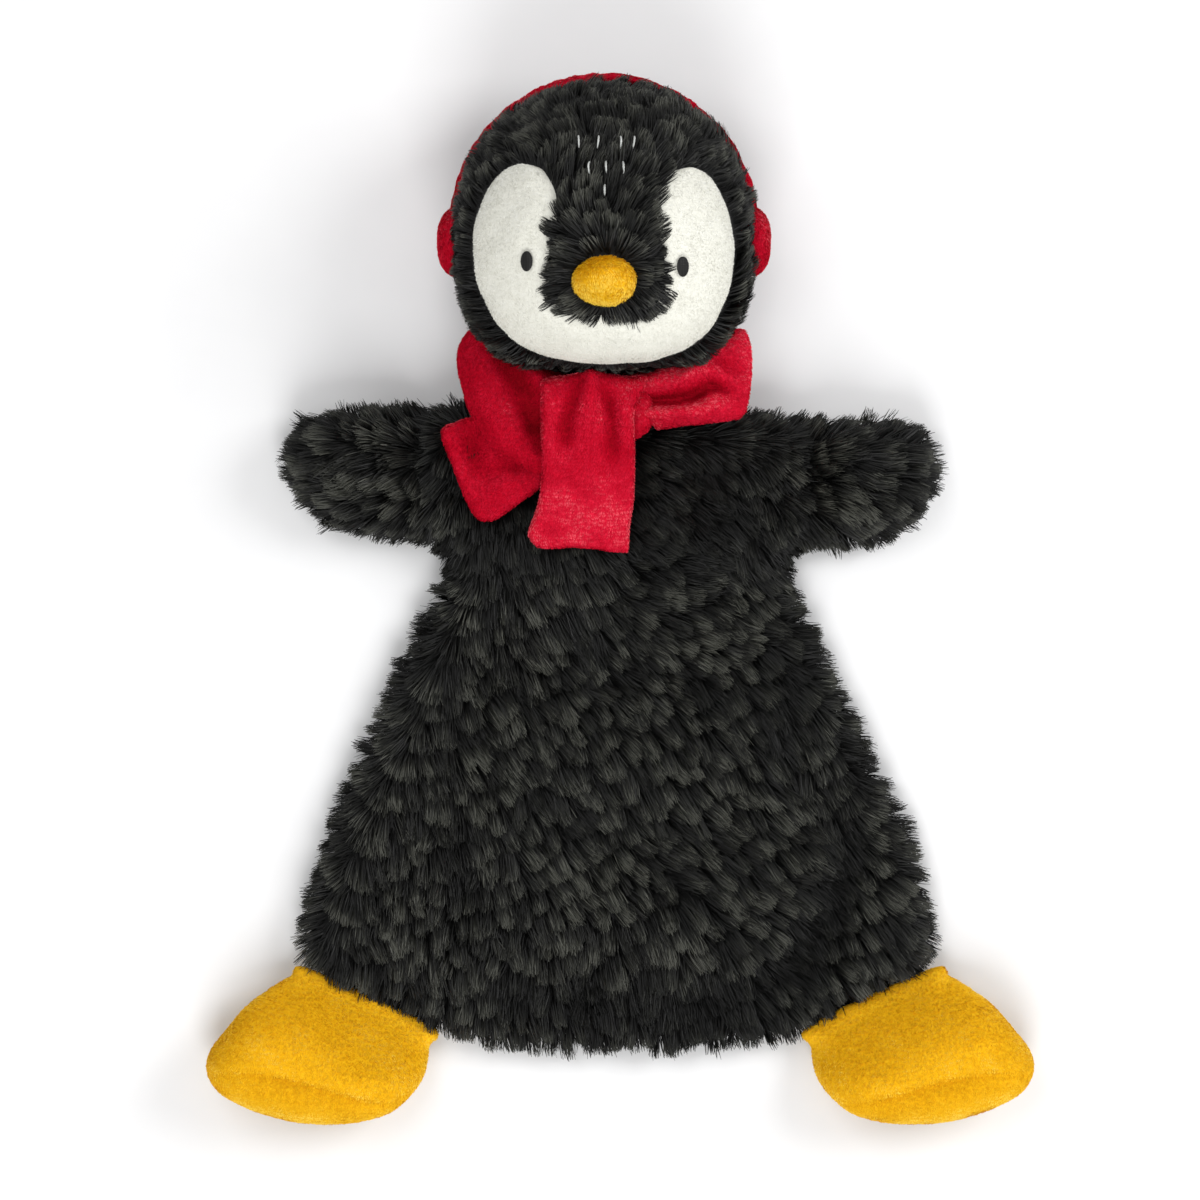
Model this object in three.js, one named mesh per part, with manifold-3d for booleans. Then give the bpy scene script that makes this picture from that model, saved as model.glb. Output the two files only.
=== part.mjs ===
// A plush penguin comforter, lying on its back: a round stuffed head in long-pile fur with a
// white face, red earmuffs, a tied red scarf, stuffed arms, a flat fur skirt and yellow feet.
// Millimetres. +Z is up off the table, +Y runs towards the head, +X is to the viewer's right.
// The origin is on the table under the middle of the toy's box.

import * as THREE from 'three';
import { mergeVertices } from 'three/addons/utils/BufferGeometryUtils.js';
import Module from 'manifold-3d';

const wasm = await Module();
wasm.setup();

// ---------------------------------------------------------------- driving dimensions
const GAP = 0.4;                 // air left between neighbouring solids
const HINGE_GAP = 0.5;           // from a hinge line to the edge on each side of it
const FUR_PANEL = 3;             // fur fabric with its pile pressed down
const VELBOA_PANEL = 2;          // short-pile fabric

const TORSO = { x: -2, y: 31.5, top: 21.5, halfWidth: 53, shoulder: 54.5, seam: 9 };
const WAIST_Y = 9;
const WAIST_SEAM = 7.5;
const SKIRT = { y: -62, top: 16, hem: -126, seam: 6.5 };
const ARM = { y: 36.5, halfHeight: 17.5, tip: 91.5, top: 24, seam: 9.5 };
const FOOT = { hinge: [[91, -107], [56.5, -124.8]], top: 27, toeSeam: 13 };
const NECK = { x: -3, y: 62.5, z: 12, halfWidth: 20, radius: 8.2 };
const HEAD = { x: -4.2, y: 107.1, z: 33, radius: 38, depth: 36, back: 3 };
const HEAD_SEAM_DEG = -10;       // latitude of the seam between the head's two fur panels
const HEAD_SEAM_GAP_DEG = 0.6;   // between those two panels
const NOD_DEG = 25;              // how far the head nods towards the chest
const BEAK = { y: -17.8, halfWidth: 8.4, halfHeight: 7, stand: 10 };
const EYE = { x: 21.4, y: -12.4, halfWidth: 1.5, halfHeight: 2.6 };
const BAND = { z: 25, width: 9, thickness: 2.6 };
const CUP = { y: -5, z: 26, radius: 10, thickness: 6.2 };
const SCARF = { cloth: 3, loopCloth: 2.3, loopWidth: 7, lobeTop: 32.5, lobeBottom: 22.6 };

const materials = {
  fur: material(0x262725, 0.95),
  white: material(0xeceae0, 0.9),
  yellow: material(0xe8b226, 0.85),
  red: material(0xc41a30, 0.85),
  thread: material(0xb9bab6, 0.6),
  eyeThread: material(0x2e2b28, 0.6),
  stuffing: material(0xf2f2ee, 1),
};

function material(color, roughness) {
  return new THREE.MeshStandardMaterial({ color, roughness, metalness: 0 });
}

const toy = new THREE.Group();

function addNode(name, geometry, look) {
  const mesh = new THREE.Mesh(geometry, look);
  mesh.name = name;
  toy.add(mesh);
}

// ---------------------------------------------------------------- shapes shared by the pieces

// Points spread evenly round a closed smooth line; their z is the height of the seam there.
function smoothOutline(points, count) {
  const corners = points.map((p) => new THREE.Vector3(...p));
  const line = new THREE.CatmullRomCurve3(corners, true, 'centripetal');
  return line.getSpacedPoints(count).slice(0, count);
}

// The other half of a line that is the same either side of the middle.
const mirrored = (points) => points.map(([x, y, z]) => [-x, y, z]).reverse();

// One side of a stuffed shape, as rings from near its crown out to its seam.
function domeRings(outline, centre, { inset = 0, crown, power, lift = 0 }) {
  const steps = 4;
  return Array.from({ length: steps }, (_, n) => {
    const reach = Math.sin(((n + 1) / steps) * Math.PI / 2);
    return outline.map((p) => {
      const away = Math.hypot(p.x - centre.x, p.y - centre.y);
      const k = reach * (1 - inset / away);
      const rim = p.z + lift;
      const z = rim + (crown - rim) * (1 - reach ** power);
      return new THREE.Vector3(centre.x + (p.x - centre.x) * k, centre.y + (p.y - centre.y) * k, z);
    });
  });
}

// A closed body from its highest point, down through rings of equal size, to its lowest point.
function ringBody(first, rings, last) {
  const size = rings[0].length;
  const vertices = [first, ...rings.flat(), last];
  const index = [];
  const at = (ring, k) => 1 + ring * size + (k % size);
  for (let k = 0; k < size; k++) {
    index.push(0, at(0, k), at(0, k + 1));
    for (let ring = 0; ring + 1 < rings.length; ring++) {
      const [a, b] = [at(ring, k), at(ring, k + 1)];
      const [c, d] = [at(ring + 1, k), at(ring + 1, k + 1)];
      index.push(a, c, d, a, d, b);
    }
    index.push(vertices.length - 1, at(rings.length - 1, k + 1), at(rings.length - 1, k));
  }
  const geometry = new THREE.BufferGeometry().setFromPoints(vertices);
  geometry.setIndex(index);
  return geometry;
}

const above = (centre, z) => new THREE.Vector3(centre.x, centre.y, z);

// A sewn cover: the cloth between an outer dome and the same dome moved in by its thickness.
function upperPanel(outline, centre, { top, thickness, power }) {
  const lift = GAP / 2;
  const outer = domeRings(outline, centre, { crown: top, power, lift });
  const inner = domeRings(outline, centre, { inset: thickness, crown: top - thickness, power, lift });
  return ringBody(above(centre, top), [...outer, ...inner.reverse()], above(centre, top - thickness));
}

function lowerPanel(outline, centre, { thickness, power }) {
  const lift = -GAP / 2;
  const inner = domeRings(outline, centre, { inset: thickness, crown: thickness, power, lift });
  const outer = domeRings(outline, centre, { crown: 0, power, lift });
  return ringBody(above(centre, thickness), [...inner, ...outer.reverse()], above(centre, 0));
}

function filling(outline, centre, { top, thickness, upperPower, lowerPower }) {
  const inset = thickness + GAP;
  const high = domeRings(outline, centre, { inset, crown: top - inset, power: upperPower });
  const low = domeRings(outline, centre, { inset, crown: inset, power: lowerPower });
  const rings = [...high, ...low.slice(0, -1).reverse()];
  return ringBody(above(centre, top - inset), rings, above(centre, inset));
}

// A stuffed shape of two panels and its filling. The underside is flatter than the top.
function stuffedPiece(name, panels, outline, centre, { top, thickness, upperPower = 2.4, look }) {
  const lowerPower = 4;
  addNode(`${name}_${panels[0]}`, upperPanel(outline, centre, { top, thickness, power: upperPower }), look);
  addNode(`${name}_${panels[1]}`, lowerPanel(outline, centre, { thickness, power: lowerPower }), look);
  const inside = filling(outline, centre, { top, thickness, upperPower, lowerPower });
  addNode(`${name}_filling`, inside, materials.stuffing);
}

// ---------------------------------------------------------------- joining and cutting

function toSolid(geometry) {
  const bare = geometry.clone();
  bare.deleteAttribute('normal');
  bare.deleteAttribute('uv');
  const merged = mergeVertices(bare, 1e-4);
  const mesh = new wasm.Mesh({
    numProp: 3,
    vertProperties: new Float32Array(merged.attributes.position.array),
    triVerts: new Uint32Array(merged.index.array),
  });
  return new wasm.Manifold(mesh);
}

function toGeometry(solid) {
  const { vertProperties, triVerts } = solid.getMesh();
  const geometry = new THREE.BufferGeometry();
  geometry.setAttribute('position', new THREE.BufferAttribute(vertProperties, 3));
  geometry.setIndex(new THREE.BufferAttribute(triVerts, 1));
  return geometry;
}

// ---------------------------------------------------------------- torso and skirt

function torso() {
  const { x, halfWidth, shoulder, seam } = TORSO;
  const waist = WAIST_Y + HINGE_GAP;
  const half = [
    [18, waist, WAIST_SEAM], [40, waist, WAIST_SEAM], [48.5, waist + 2, WAIST_SEAM],
    [halfWidth - HINGE_GAP, 21, seam], [halfWidth - HINGE_GAP, 36, seam],
    [halfWidth - HINGE_GAP, 48, seam], [46, shoulder - 1, seam], [28, shoulder, seam],
    [10, shoulder - 2.5, seam],
  ];
  const outline = smoothOutline([...half, ...mirrored(half)], 30)
    .map((p) => p.setX(p.x + x));
  const centre = { x, y: TORSO.y };
  stuffedPiece('torso', ['front_panel', 'back_panel'], outline, centre, {
    top: TORSO.top, thickness: FUR_PANEL, look: materials.fur,
  });
}

// The hem runs along the hinge line of each foot, and bows out a little between them.
function skirt() {
  const waist = WAIST_Y - HINGE_GAP;
  const [outer, inner] = FOOT.hinge;
  const half = [
    [0, SKIRT.hem], [30, SKIRT.hem + 1], [inner[0] - 4, inner[1] + 1.5],
    [inner[0] + 1, inner[1] + 1.2], [inner[0] + 16, inner[1] + 9], [outer[0] - 3, outer[1] - 0.6],
    [89.5, -103], [88, -94], [82.5, -73], [73, -50], [62, -27], [52.5, -5], [49, 4],
    [44, waist - 0.3], [20, waist],
  ].map(([x, y]) => [x, y, y > 0 ? WAIST_SEAM : SKIRT.seam]);
  const outline = smoothOutline([...half, ...mirrored(half.slice(1))], 38);
  const centre = { x: 0, y: SKIRT.y };
  const thickness = FUR_PANEL;
  const front = upperPanel(outline, centre, { top: SKIRT.top, thickness, power: 4 });
  const back = lowerPanel(outline, centre, { thickness, power: 6 });
  const inside = filling(outline, centre, { top: SKIRT.top, thickness, upperPower: 4, lowerPower: 6 });
  addNode('skirt_front_panel', front, materials.fur);
  addNode('skirt_back_panel', back, materials.fur);
  addNode('skirt_filling', inside, materials.stuffing);
}

// ---------------------------------------------------------------- arms and feet

function arm(side, sign) {
  const root = TORSO.halfWidth + HINGE_GAP;
  const { y, halfHeight, tip, seam } = ARM;
  const half = [
    [root, y - 8, TORSO.seam], [root + 1, y - halfHeight + 3.5, TORSO.seam],
    [root + 9, y - halfHeight, seam], [tip - 13, y - halfHeight, seam],
    [tip - 3, y - halfHeight + 7, seam], [tip, y, seam],
    [tip - 3, y + halfHeight - 7, seam], [tip - 13, y + halfHeight, seam],
    [root + 9, y + halfHeight, seam], [root + 1, y + halfHeight - 3.5, TORSO.seam],
    [root, y + 8, TORSO.seam],
  ];
  const points = sign > 0 ? half : mirrored(half);
  const outline = smoothOutline(points, 22).map((p) => p.setX(p.x + TORSO.x));
  const centre = { x: TORSO.x + sign * (root + tip) / 2, y };
  stuffedPiece(`arm_${side}`, ['front_panel', 'back_panel'], outline, centre, {
    top: ARM.top, thickness: FUR_PANEL, upperPower: 2.2, look: materials.fur,
  });
}

// A fat half-moon: its straight side is sewn to the hem, its round side is the toe.
function foot(side, sign) {
  const [[ax, ay], [bx, by]] = FOOT.hinge;
  const out = HINGE_GAP * 1.4;
  const { toeSeam } = FOOT;
  const half = [
    [ax - 6, ay - 3.1 - out, SKIRT.seam], [bx + 14, by + 7.2 - out, SKIRT.seam],
    [bx + 2.5, by + 0.4 - out, SKIRT.seam], [bx - 0.5, by - 3, 8], [56.2, -135.5, 11],
    [61.5, -142.6, toeSeam], [73, -148.4, toeSeam], [91, -151.2, toeSeam], [109, -147.5, toeSeam],
    [118.6, -141, toeSeam], [120.2, -133, toeSeam], [113.5, -120.5, 11], [103, -111.5, 9],
    [ax + 1, ay - 1 - out, SKIRT.seam],
  ];
  const points = sign > 0 ? half : mirrored(half);
  const outline = smoothOutline(points, 24);
  const centre = { x: sign * 88, y: -131.5 };
  stuffedPiece(`foot_${side}`, ['top_panel', 'sole_panel'], outline, centre, {
    top: FOOT.top, thickness: VELBOA_PANEL, look: materials.yellow,
  });
}

// ---------------------------------------------------------------- head

// The head is a ball with its back pressed flat. proud is how far a layer stands out of the
// stuffing. Latitude 90 is the middle of the face, 0 is the ball's widest ring.
const atLatitude = (deg, proud) => new THREE.Vector2(
  (HEAD.radius + proud) * Math.cos(THREE.MathUtils.degToRad(deg)),
  HEAD.z + (HEAD.depth + proud) * Math.sin(THREE.MathUtils.degToRad(deg)),
);

const flatBackLatitude = (proud) => THREE.MathUtils.radToDeg(
  Math.asin((HEAD.back - proud - HEAD.z) / (HEAD.depth + proud)));

function latitudes(from, to, steps, proud) {
  return Array.from({ length: steps + 1 }, (_, n) => {
    const deg = from + ((to - from) * n) / steps;
    const point = atLatitude(deg, proud);
    if (Math.abs(deg) === 90) point.x = 0;
    return point;
  });
}

// Turns a profile of distance and height about the head's own axis.
function turned(profile, segments = 40) {
  const geometry = new THREE.LatheGeometry(profile, segments);
  geometry.rotateX(Math.PI / 2);
  geometry.translate(HEAD.x, HEAD.y, 0);
  return geometry;
}

function headFilling() {
  const proud = -GAP;
  const profile = [
    new THREE.Vector2(0, HEAD.back - proud),
    ...latitudes(flatBackLatitude(proud), 90, 9, proud),
  ];
  return turned(profile, 24);
}

function headBackPanel() {
  const seam = HEAD_SEAM_DEG - HEAD_SEAM_GAP_DEG;
  const profile = [
    new THREE.Vector2(0, HEAD.back - FUR_PANEL),
    ...latitudes(flatBackLatitude(FUR_PANEL), seam, 5, FUR_PANEL),
    ...latitudes(seam, flatBackLatitude(0), 5, 0),
    new THREE.Vector2(0, HEAD.back),
  ];
  return turned(profile, 28);
}

const frontShell = (proud) => turned([
  ...latitudes(90, HEAD_SEAM_DEG, 9, 0),
  ...latitudes(HEAD_SEAM_DEG, 90, 9, proud),
]);

// A tall prism standing on an outline given about the middle of the head.
function headPrism(shape) {
  const wellAboveTheHead = 80;
  const geometry = new THREE.ExtrudeGeometry(shape, {
    depth: wellAboveTheHead, bevelEnabled: false, curveSegments: 5,
  });
  geometry.translate(HEAD.x, HEAD.y, HEAD.z);
  return geometry;
}

// The white of the face is a U: two round-topped lobes joined under the beak, with a tongue of
// fur between them. grow widens it all round, for the seat cut in the fur.
function faceShape(grow) {
  const outer = [
    [26.5, 17.5], [34.5, 9], [37.2, -5], [35.6, -18], [29.2, -29], [16.4, -37], [0, -39.6],
  ];
  const inner = [[0, -29.5], [15, -28], [17.6, -20], [17, -7], [14.8, 4], [17.5, 12.5]];
  const right = [
    ...inner.map(([x, y]) => [Math.max(x - grow, 0), y + grow]),
    ...outer.map(([x, y]) => [x && x + grow, y + (y > 10 ? grow : -grow)]),
  ];
  const left = right.filter(([x]) => x > 0).map(([x, y]) => [-x, y]).reverse();
  const line = new THREE.SplineCurve([...right, ...left, right[0]].map((p) => new THREE.Vector2(...p)));
  return new THREE.Shape(line.getSpacedPoints(56).slice(0, -1));
}

// A rounded diamond, wider than it is high.
function beakPoint(angle, grow) {
  const c = Math.cos(angle);
  const s = Math.sin(angle);
  const power = 1.65;
  const k = (Math.abs(c) ** power + Math.abs(s) ** power) ** (-1 / power);
  return new THREE.Vector2((BEAK.halfWidth + grow) * k * c, BEAK.y + (BEAK.halfHeight + grow) * k * s);
}

const beakOutline = (grow, count) => Array.from({ length: count }, (_, n) =>
  beakPoint((n / count) * 2 * Math.PI, grow));

// Height of the head's surface, at a place given from the middle of the head.
function headHeight(x, y, proud) {
  const r = HEAD.radius + proud;
  return HEAD.z + (HEAD.depth + proud) * Math.sqrt(1 - (x * x + y * y) / (r * r));
}

function onHead(points, proud) {
  return points.map((p) => new THREE.Vector3(HEAD.x + p.x, HEAD.y + p.y, headHeight(p.x, p.y, proud)));
}

function face() {
  const beakSeat = headPrism(new THREE.Shape(beakOutline(GAP, 20)));
  const patchSeat = toSolid(headPrism(faceShape(GAP)));
  const fur = toSolid(frontShell(FUR_PANEL)).subtract(patchSeat).subtract(toSolid(beakSeat));
  const white = toSolid(frontShell(VELBOA_PANEL)).intersect(toSolid(headPrism(faceShape(0))));
  addNode('head_front_panel', toGeometry(fur), materials.fur);
  addNode('face_patch', toGeometry(white), materials.white);
}

function beak() {
  const centre = { x: HEAD.x, y: HEAD.y + BEAK.y };
  const wall = 1.5;
  const skirtLine = onHead(beakOutline(0, 20), GAP);
  const base = headHeight(0, BEAK.y, 0);
  const top = base + BEAK.stand;
  const power = 2.6;
  const outer = domeRings(skirtLine, centre, { crown: top, power });
  const inner = domeRings(skirtLine, centre, { inset: wall, crown: top - wall, power });
  const cover = ringBody(above(centre, top), [...outer, ...inner.reverse()], above(centre, top - wall));
  addNode('beak_cover', cover, materials.yellow);
  const inset = wall + GAP;
  const high = domeRings(skirtLine, centre, { inset, crown: top - inset, power });
  const seat = (p) => p.clone().setZ(headHeight(p.x - HEAD.x, p.y - HEAD.y, 0) + 2 * GAP);
  const low = high.map((ring) => ring.map(seat));
  const plug = ringBody(above(centre, top - inset), [...high, ...low.reverse()],
    seat(above(centre, base)));
  addNode('beak_filling', plug, materials.stuffing);
}

// An embroidered oval that lies on the face patch.
function eye(side, sign) {
  const count = 14;
  const middle = new THREE.Vector2(sign * EYE.x, EYE.y);
  const oval = Array.from({ length: count }, (_, n) => {
    const angle = (n / count) * 2 * Math.PI;
    return new THREE.Vector2(
      middle.x + EYE.halfWidth * Math.cos(angle), middle.y + EYE.halfHeight * Math.sin(angle));
  });
  const under = onHead(oval, VELBOA_PANEL + GAP);
  const crownHeight = 0.9;
  const edge = under.map((p) => p.clone().setZ(p.z + crownHeight / 2));
  const low = onHead([middle], VELBOA_PANEL + GAP)[0];
  const high = low.clone().setZ(low.z + crownHeight);
  addNode(`eye_${side}`, ringBody(high, [edge, under], low), materials.eyeThread);
}

// Short pale threads over the forehead's fur: a row of four, then three, then one.
function foreheadStitches() {
  const rows = [
    { y: 21.5, count: 4, pitch: 5.2 },
    { y: 14.1, count: 3, pitch: 4.6 },
    { y: 6.9, count: 1, pitch: 0 },
  ];
  const radius = 0.4;
  const length = 3.2;
  let number = 0;
  for (const { y, count, pitch } of rows) {
    for (let n = 0; n < count; n++) {
      const x = (n - (count - 1) / 2) * pitch;
      const [place] = onHead([new THREE.Vector2(x, y)], FUR_PANEL + GAP + radius);
      const slope = Math.atan2(y, Math.sqrt((HEAD.radius + FUR_PANEL) ** 2 - x * x - y * y));
      const thread = new THREE.CapsuleGeometry(radius, length, 1, 6);
      thread.rotateX(-slope);
      thread.translate(place.x, place.y, place.z);
      number += 1;
      addNode(`forehead_stitch_${number}`, thread, materials.thread);
    }
  }
}

function earCup(side, sign) {
  const half = CUP.thickness / 2;
  const rim = 2;
  const profile = [
    [0, -half], [CUP.radius - rim, -half], [CUP.radius, -half + rim], [CUP.radius, half - rim],
    [CUP.radius - rim, half], [0, half],
  ].map(([r, h]) => new THREE.Vector2(r, h));
  const pad = new THREE.LatheGeometry(profile, 20);
  pad.rotateZ(-sign * Math.PI / 2);
  const seat = HEAD.radius + FUR_PANEL + GAP / 2;
  pad.translate(HEAD.x + sign * (seat + half), HEAD.y + CUP.y, CUP.z);
  addNode(`ear_cup_${side}`, pad, materials.red);
}

// Over the top of the head from one ear cup to the other, on the fur.
function earmuffBand() {
  const r = HEAD.radius + FUR_PANEL + GAP + BAND.thickness / 2;
  const startDeg = 8;
  const steps = 26;
  const arc = Array.from({ length: steps + 1 }, (_, n) => {
    const angle = THREE.MathUtils.degToRad(startDeg + ((180 - 2 * startDeg) * n) / steps);
    return new THREE.Vector3(HEAD.x + r * Math.cos(angle), HEAD.y + r * Math.sin(angle), BAND.z);
  });
  const w = BAND.width / 2;
  const t = BAND.thickness / 2;
  const corner = 0.9;
  const section = new THREE.Shape([
    [-w + corner, -t], [w - corner, -t], [w, -t + corner], [w, t - corner],
    [w - corner, t], [-w + corner, t], [-w, t - corner], [-w, -t + corner],
  ].map((p) => new THREE.Vector2(...p)));
  const extrudePath = new THREE.CatmullRomCurve3(arc);
  const band = new THREE.ExtrudeGeometry(section, { steps, extrudePath });
  addNode('earmuff_band', band, materials.red);
}

// ---------------------------------------------------------------- neck and scarf

function neckSleeve() {
  const barrel = new THREE.SphereGeometry(1, 16, 10);
  barrel.scale(NECK.halfWidth, NECK.radius, NECK.radius);
  barrel.translate(NECK.x, NECK.y, NECK.z);
  addNode('neck_sleeve', barrel, materials.fur);
}

// The room that the head and the neck need, from rest to a full nod.
function nodRoom() {
  const margin = 1.2;
  const ball = new THREE.SphereGeometry(1, 32, 20);
  const reach = HEAD.radius + FUR_PANEL + margin;
  ball.scale(reach, reach, HEAD.depth + FUR_PANEL + margin);
  ball.translate(HEAD.x, HEAD.y - NECK.y, HEAD.z - NECK.z);
  const steps = 3;
  let room = null;
  for (let n = 0; n <= steps; n++) {
    const posed = ball.clone();
    posed.rotateX(THREE.MathUtils.degToRad((NOD_DEG * n) / steps));
    posed.translate(0, NECK.y, NECK.z);
    room = room ? room.add(toSolid(posed)) : toSolid(posed);
  }
  return room;
}

// The strip behind the neck: a loop round the neck sleeve, pressed thin against the table.
function scarfLoop(room) {
  const oval = (rx, rz) => new THREE.Path().absellipse(0, 0, rx, rz, 0, 2 * Math.PI);
  const inside = { rx: NECK.halfWidth + 2, rz: NECK.radius + 1 };
  const { loopCloth, loopWidth } = SCARF;
  const outer = oval(inside.rx + 2 * loopCloth, inside.rz + loopCloth).getSpacedPoints(36).slice(0, -1);
  const shape = new THREE.Shape(outer);
  shape.holes.push(new THREE.Path(oval(inside.rx, inside.rz).getSpacedPoints(36).slice(0, -1).reverse()));
  const loop = new THREE.ExtrudeGeometry(shape, { depth: loopWidth, bevelEnabled: false });
  loop.rotateX(Math.PI / 2);
  loop.translate(NECK.x, NECK.y + 1 + loopWidth / 2, NECK.z);
  addNode('scarf_neck_loop', toGeometry(toSolid(loop).subtract(room)), materials.red);
}

// The two folded bulges either side of the knot, cut back where the head comes down on them.
function scarfLobe(side, points, centre, room) {
  const outline = smoothOutline(points, 22);
  const { lobeTop, lobeBottom } = SCARF;
  const power = 2.2;
  const high = domeRings(outline, centre, { crown: lobeTop, power });
  const low = domeRings(outline, centre, { crown: lobeBottom, power });
  const lobe = ringBody(above(centre, lobeTop), [...high, ...low.slice(0, -1).reverse()],
    above(centre, lobeBottom));
  const solid = toSolid(lobe).subtract(room);
  addNode(`scarf_${side}_lobe`, toGeometry(solid), materials.red);
}

// A strip of the scarf: a side view in Y and Z, as wide as it is along X.
function strip(route, thickness, left, right) {
  const upper = route.map(([y, z]) => [y, z + thickness]).reverse();
  const shape = new THREE.Shape([...route, ...upper].map((p) => new THREE.Vector2(...p)));
  const geometry = new THREE.ExtrudeGeometry(shape, { depth: right - left, bevelEnabled: false });
  geometry.applyMatrix4(new THREE.Matrix4().set(
    0, 0, 1, left, 1, 0, 0, 0, 0, 1, 0, 0, 0, 0, 0, 1));
  return geometry;
}

function scarf() {
  const room = nodRoom();
  scarfLoop(room);
  const leftLobe = [
    [-41, 75, 21], [-45.5, 67, 21], [-43, 57, 22], [-37.5, 46, 23], [-26, 40, 24],
    [-13, 42, 26], [-11, 56, 26], [-20, 63, 25], [-32, 69.5, 24],
  ];
  scarfLobe('left', leftLobe, { x: -29, y: 56 }, room);
  const rightLobe = [
    [-5, 44, 26], [8, 47, 26], [27, 49.5, 24], [35.5, 55, 23], [36, 66, 22], [34, 75, 22],
    [22, 69, 24], [7, 61, 25], [-7, 56, 26],
  ];
  scarfLobe('right', rightLobe, { x: 15, y: 57 }, room);

  const knot = strip([[51, 33.2], [57, 33], [63, 31.5]], SCARF.cloth + 0.6, -22.5, 4);
  addNode('scarf_knot', toGeometry(toSolid(knot).subtract(room)), materials.red);
  const overChest = [[14, 20.5], [24, 23.4], [36, 29.2], [44, 32.4], [50, 33.4]];
  const frontTail = strip(overChest, SCARF.cloth, -24.5, 2.5);
  addNode('scarf_front_tail', frontTail, materials.red);

  const end = new THREE.Shape([
    [-45, 50.6], [-50.5, 49.5], [-51, 46.5], [-44, 28], [-40.5, 23.4], [-35, 23], [-25, 31.5],
    [-24.5, 34.5], [-30, 38.2], [-37.5, 43.5],
  ].map((p) => new THREE.Vector2(...p)));
  const sideTail = new THREE.ExtrudeGeometry(end, { depth: SCARF.cloth, bevelEnabled: false });
  const middle = { x: -35, y: 38, z: 20.2 };
  const tiltDeg = -10;
  sideTail.translate(-middle.x, -middle.y, 0);
  sideTail.rotateY(THREE.MathUtils.degToRad(tiltDeg));
  sideTail.translate(middle.x, middle.y, middle.z);
  addNode('scarf_side_tail', sideTail, materials.red);
}

torso();
skirt();
for (const [side, sign] of [['left', -1], ['right', 1]]) {
  arm(side, sign);
  foot(side, sign);
  eye(side, sign);
  earCup(side, sign);
}
addNode('head_filling', headFilling(), materials.stuffing);
addNode('head_back_panel', headBackPanel(), materials.fur);
face();
beak();
foreheadStitches();
earmuffBand();
neckSleeve();
scarf();

export default toy;
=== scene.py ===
"""Looks of the plush penguin comforter: long-pile fur grown strand by strand, short-pile velboa,
a tied scarf, earmuffs and embroidery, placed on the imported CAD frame. Lengths are in millimetres,
and MM turns them into metres. Sheets' flat sizes, materials, lights and the camera are in metres.
A seed picks one random pattern, the same one on each run."""
import math

import bpy
import numpy as np
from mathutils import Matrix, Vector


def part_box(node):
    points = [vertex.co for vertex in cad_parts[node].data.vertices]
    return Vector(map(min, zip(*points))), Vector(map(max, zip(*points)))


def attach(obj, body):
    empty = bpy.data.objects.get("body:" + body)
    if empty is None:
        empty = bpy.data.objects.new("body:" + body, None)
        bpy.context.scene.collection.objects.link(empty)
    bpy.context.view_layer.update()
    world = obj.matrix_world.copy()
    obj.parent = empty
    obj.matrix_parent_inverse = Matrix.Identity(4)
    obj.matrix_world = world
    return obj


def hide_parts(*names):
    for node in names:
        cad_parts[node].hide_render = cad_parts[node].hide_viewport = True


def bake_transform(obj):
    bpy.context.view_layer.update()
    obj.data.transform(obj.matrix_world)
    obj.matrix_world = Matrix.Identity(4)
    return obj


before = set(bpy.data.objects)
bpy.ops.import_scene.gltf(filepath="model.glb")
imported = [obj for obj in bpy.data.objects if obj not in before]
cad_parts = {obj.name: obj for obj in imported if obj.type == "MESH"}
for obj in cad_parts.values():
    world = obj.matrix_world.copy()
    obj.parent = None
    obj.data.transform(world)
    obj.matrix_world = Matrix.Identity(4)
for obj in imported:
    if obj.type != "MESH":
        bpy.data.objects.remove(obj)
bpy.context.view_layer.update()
MM = 0.001


def node_box(name):
    """A CAD node's lowest and highest corners, in millimetres."""
    low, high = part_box(name)
    return np.array(low) / MM, np.array(high) / MM


# ------------------------------------------------------------------ places taken from the frame
HEAD_LOW, HEAD_HIGH = node_box("head_front_panel")
FACE = np.array([(HEAD_LOW[0] + HEAD_HIGH[0]) / 2, (HEAD_LOW[1] + HEAD_HIGH[1]) / 2, 33.0])
HEAD = FACE - (0.5, 3.0, 0)         # the stuffed ball sags a little towards the chin
HEAD_RADII = np.array([39.3, 39.0, 37.0])
BEAK_LOW, BEAK_HIGH = node_box("beak_cover")
BEAK = (BEAK_LOW + BEAK_HIGH) / 2
BAND_Z = 25.0                       # the earmuff's band and the pile that it presses flat
TORSO_X = -1.6                      # the middle of the chest, a little left of the hem's
WAIST_Y = 9.0


# ------------------------------------------------------------------ small numeric helpers
def unit(v):
    """Vectors of length one, or nearly nothing where there was nothing."""
    return v / np.maximum(np.linalg.norm(v, axis=-1, keepdims=True), 1e-9)


def smooth(low, high, x):
    """0 up to low, 1 from high on, and an even S between them. It falls if high is below low."""
    t = np.clip((x - low) / (high - low), 0, 1)
    return t * t * (3 - 2 * t)


def ripple(points, scale, seed, waves=7):
    """A smooth random field over points, about -1 to 1, with features about scale long."""
    rng = np.random.default_rng(seed)
    total = np.zeros(len(points))
    for _ in range(waves):
        way = unit(rng.normal(size=points.shape[1]))
        pitch = scale * rng.uniform(0.7, 1.5)
        total += np.sin(points @ way * (2 * np.pi / pitch) + rng.uniform(0, 2 * np.pi))
    return total / waves ** 0.5


def hashed(cells, salt):
    """Random numbers from 0 to 1 that depend only on whole-number cell coordinates."""
    mixed = cells @ np.array([127.1, 311.7, 74.7]) + salt * 57.31
    return np.modf(np.abs(np.sin(mixed)) * 43758.5453)[0]


def dome(share):
    """A quarter circle: 0 at an edge, and 1 where share is 1 or more."""
    return np.sqrt(np.maximum(0, 1 - (1 - np.clip(share, 0, 1)) ** 2))


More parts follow.
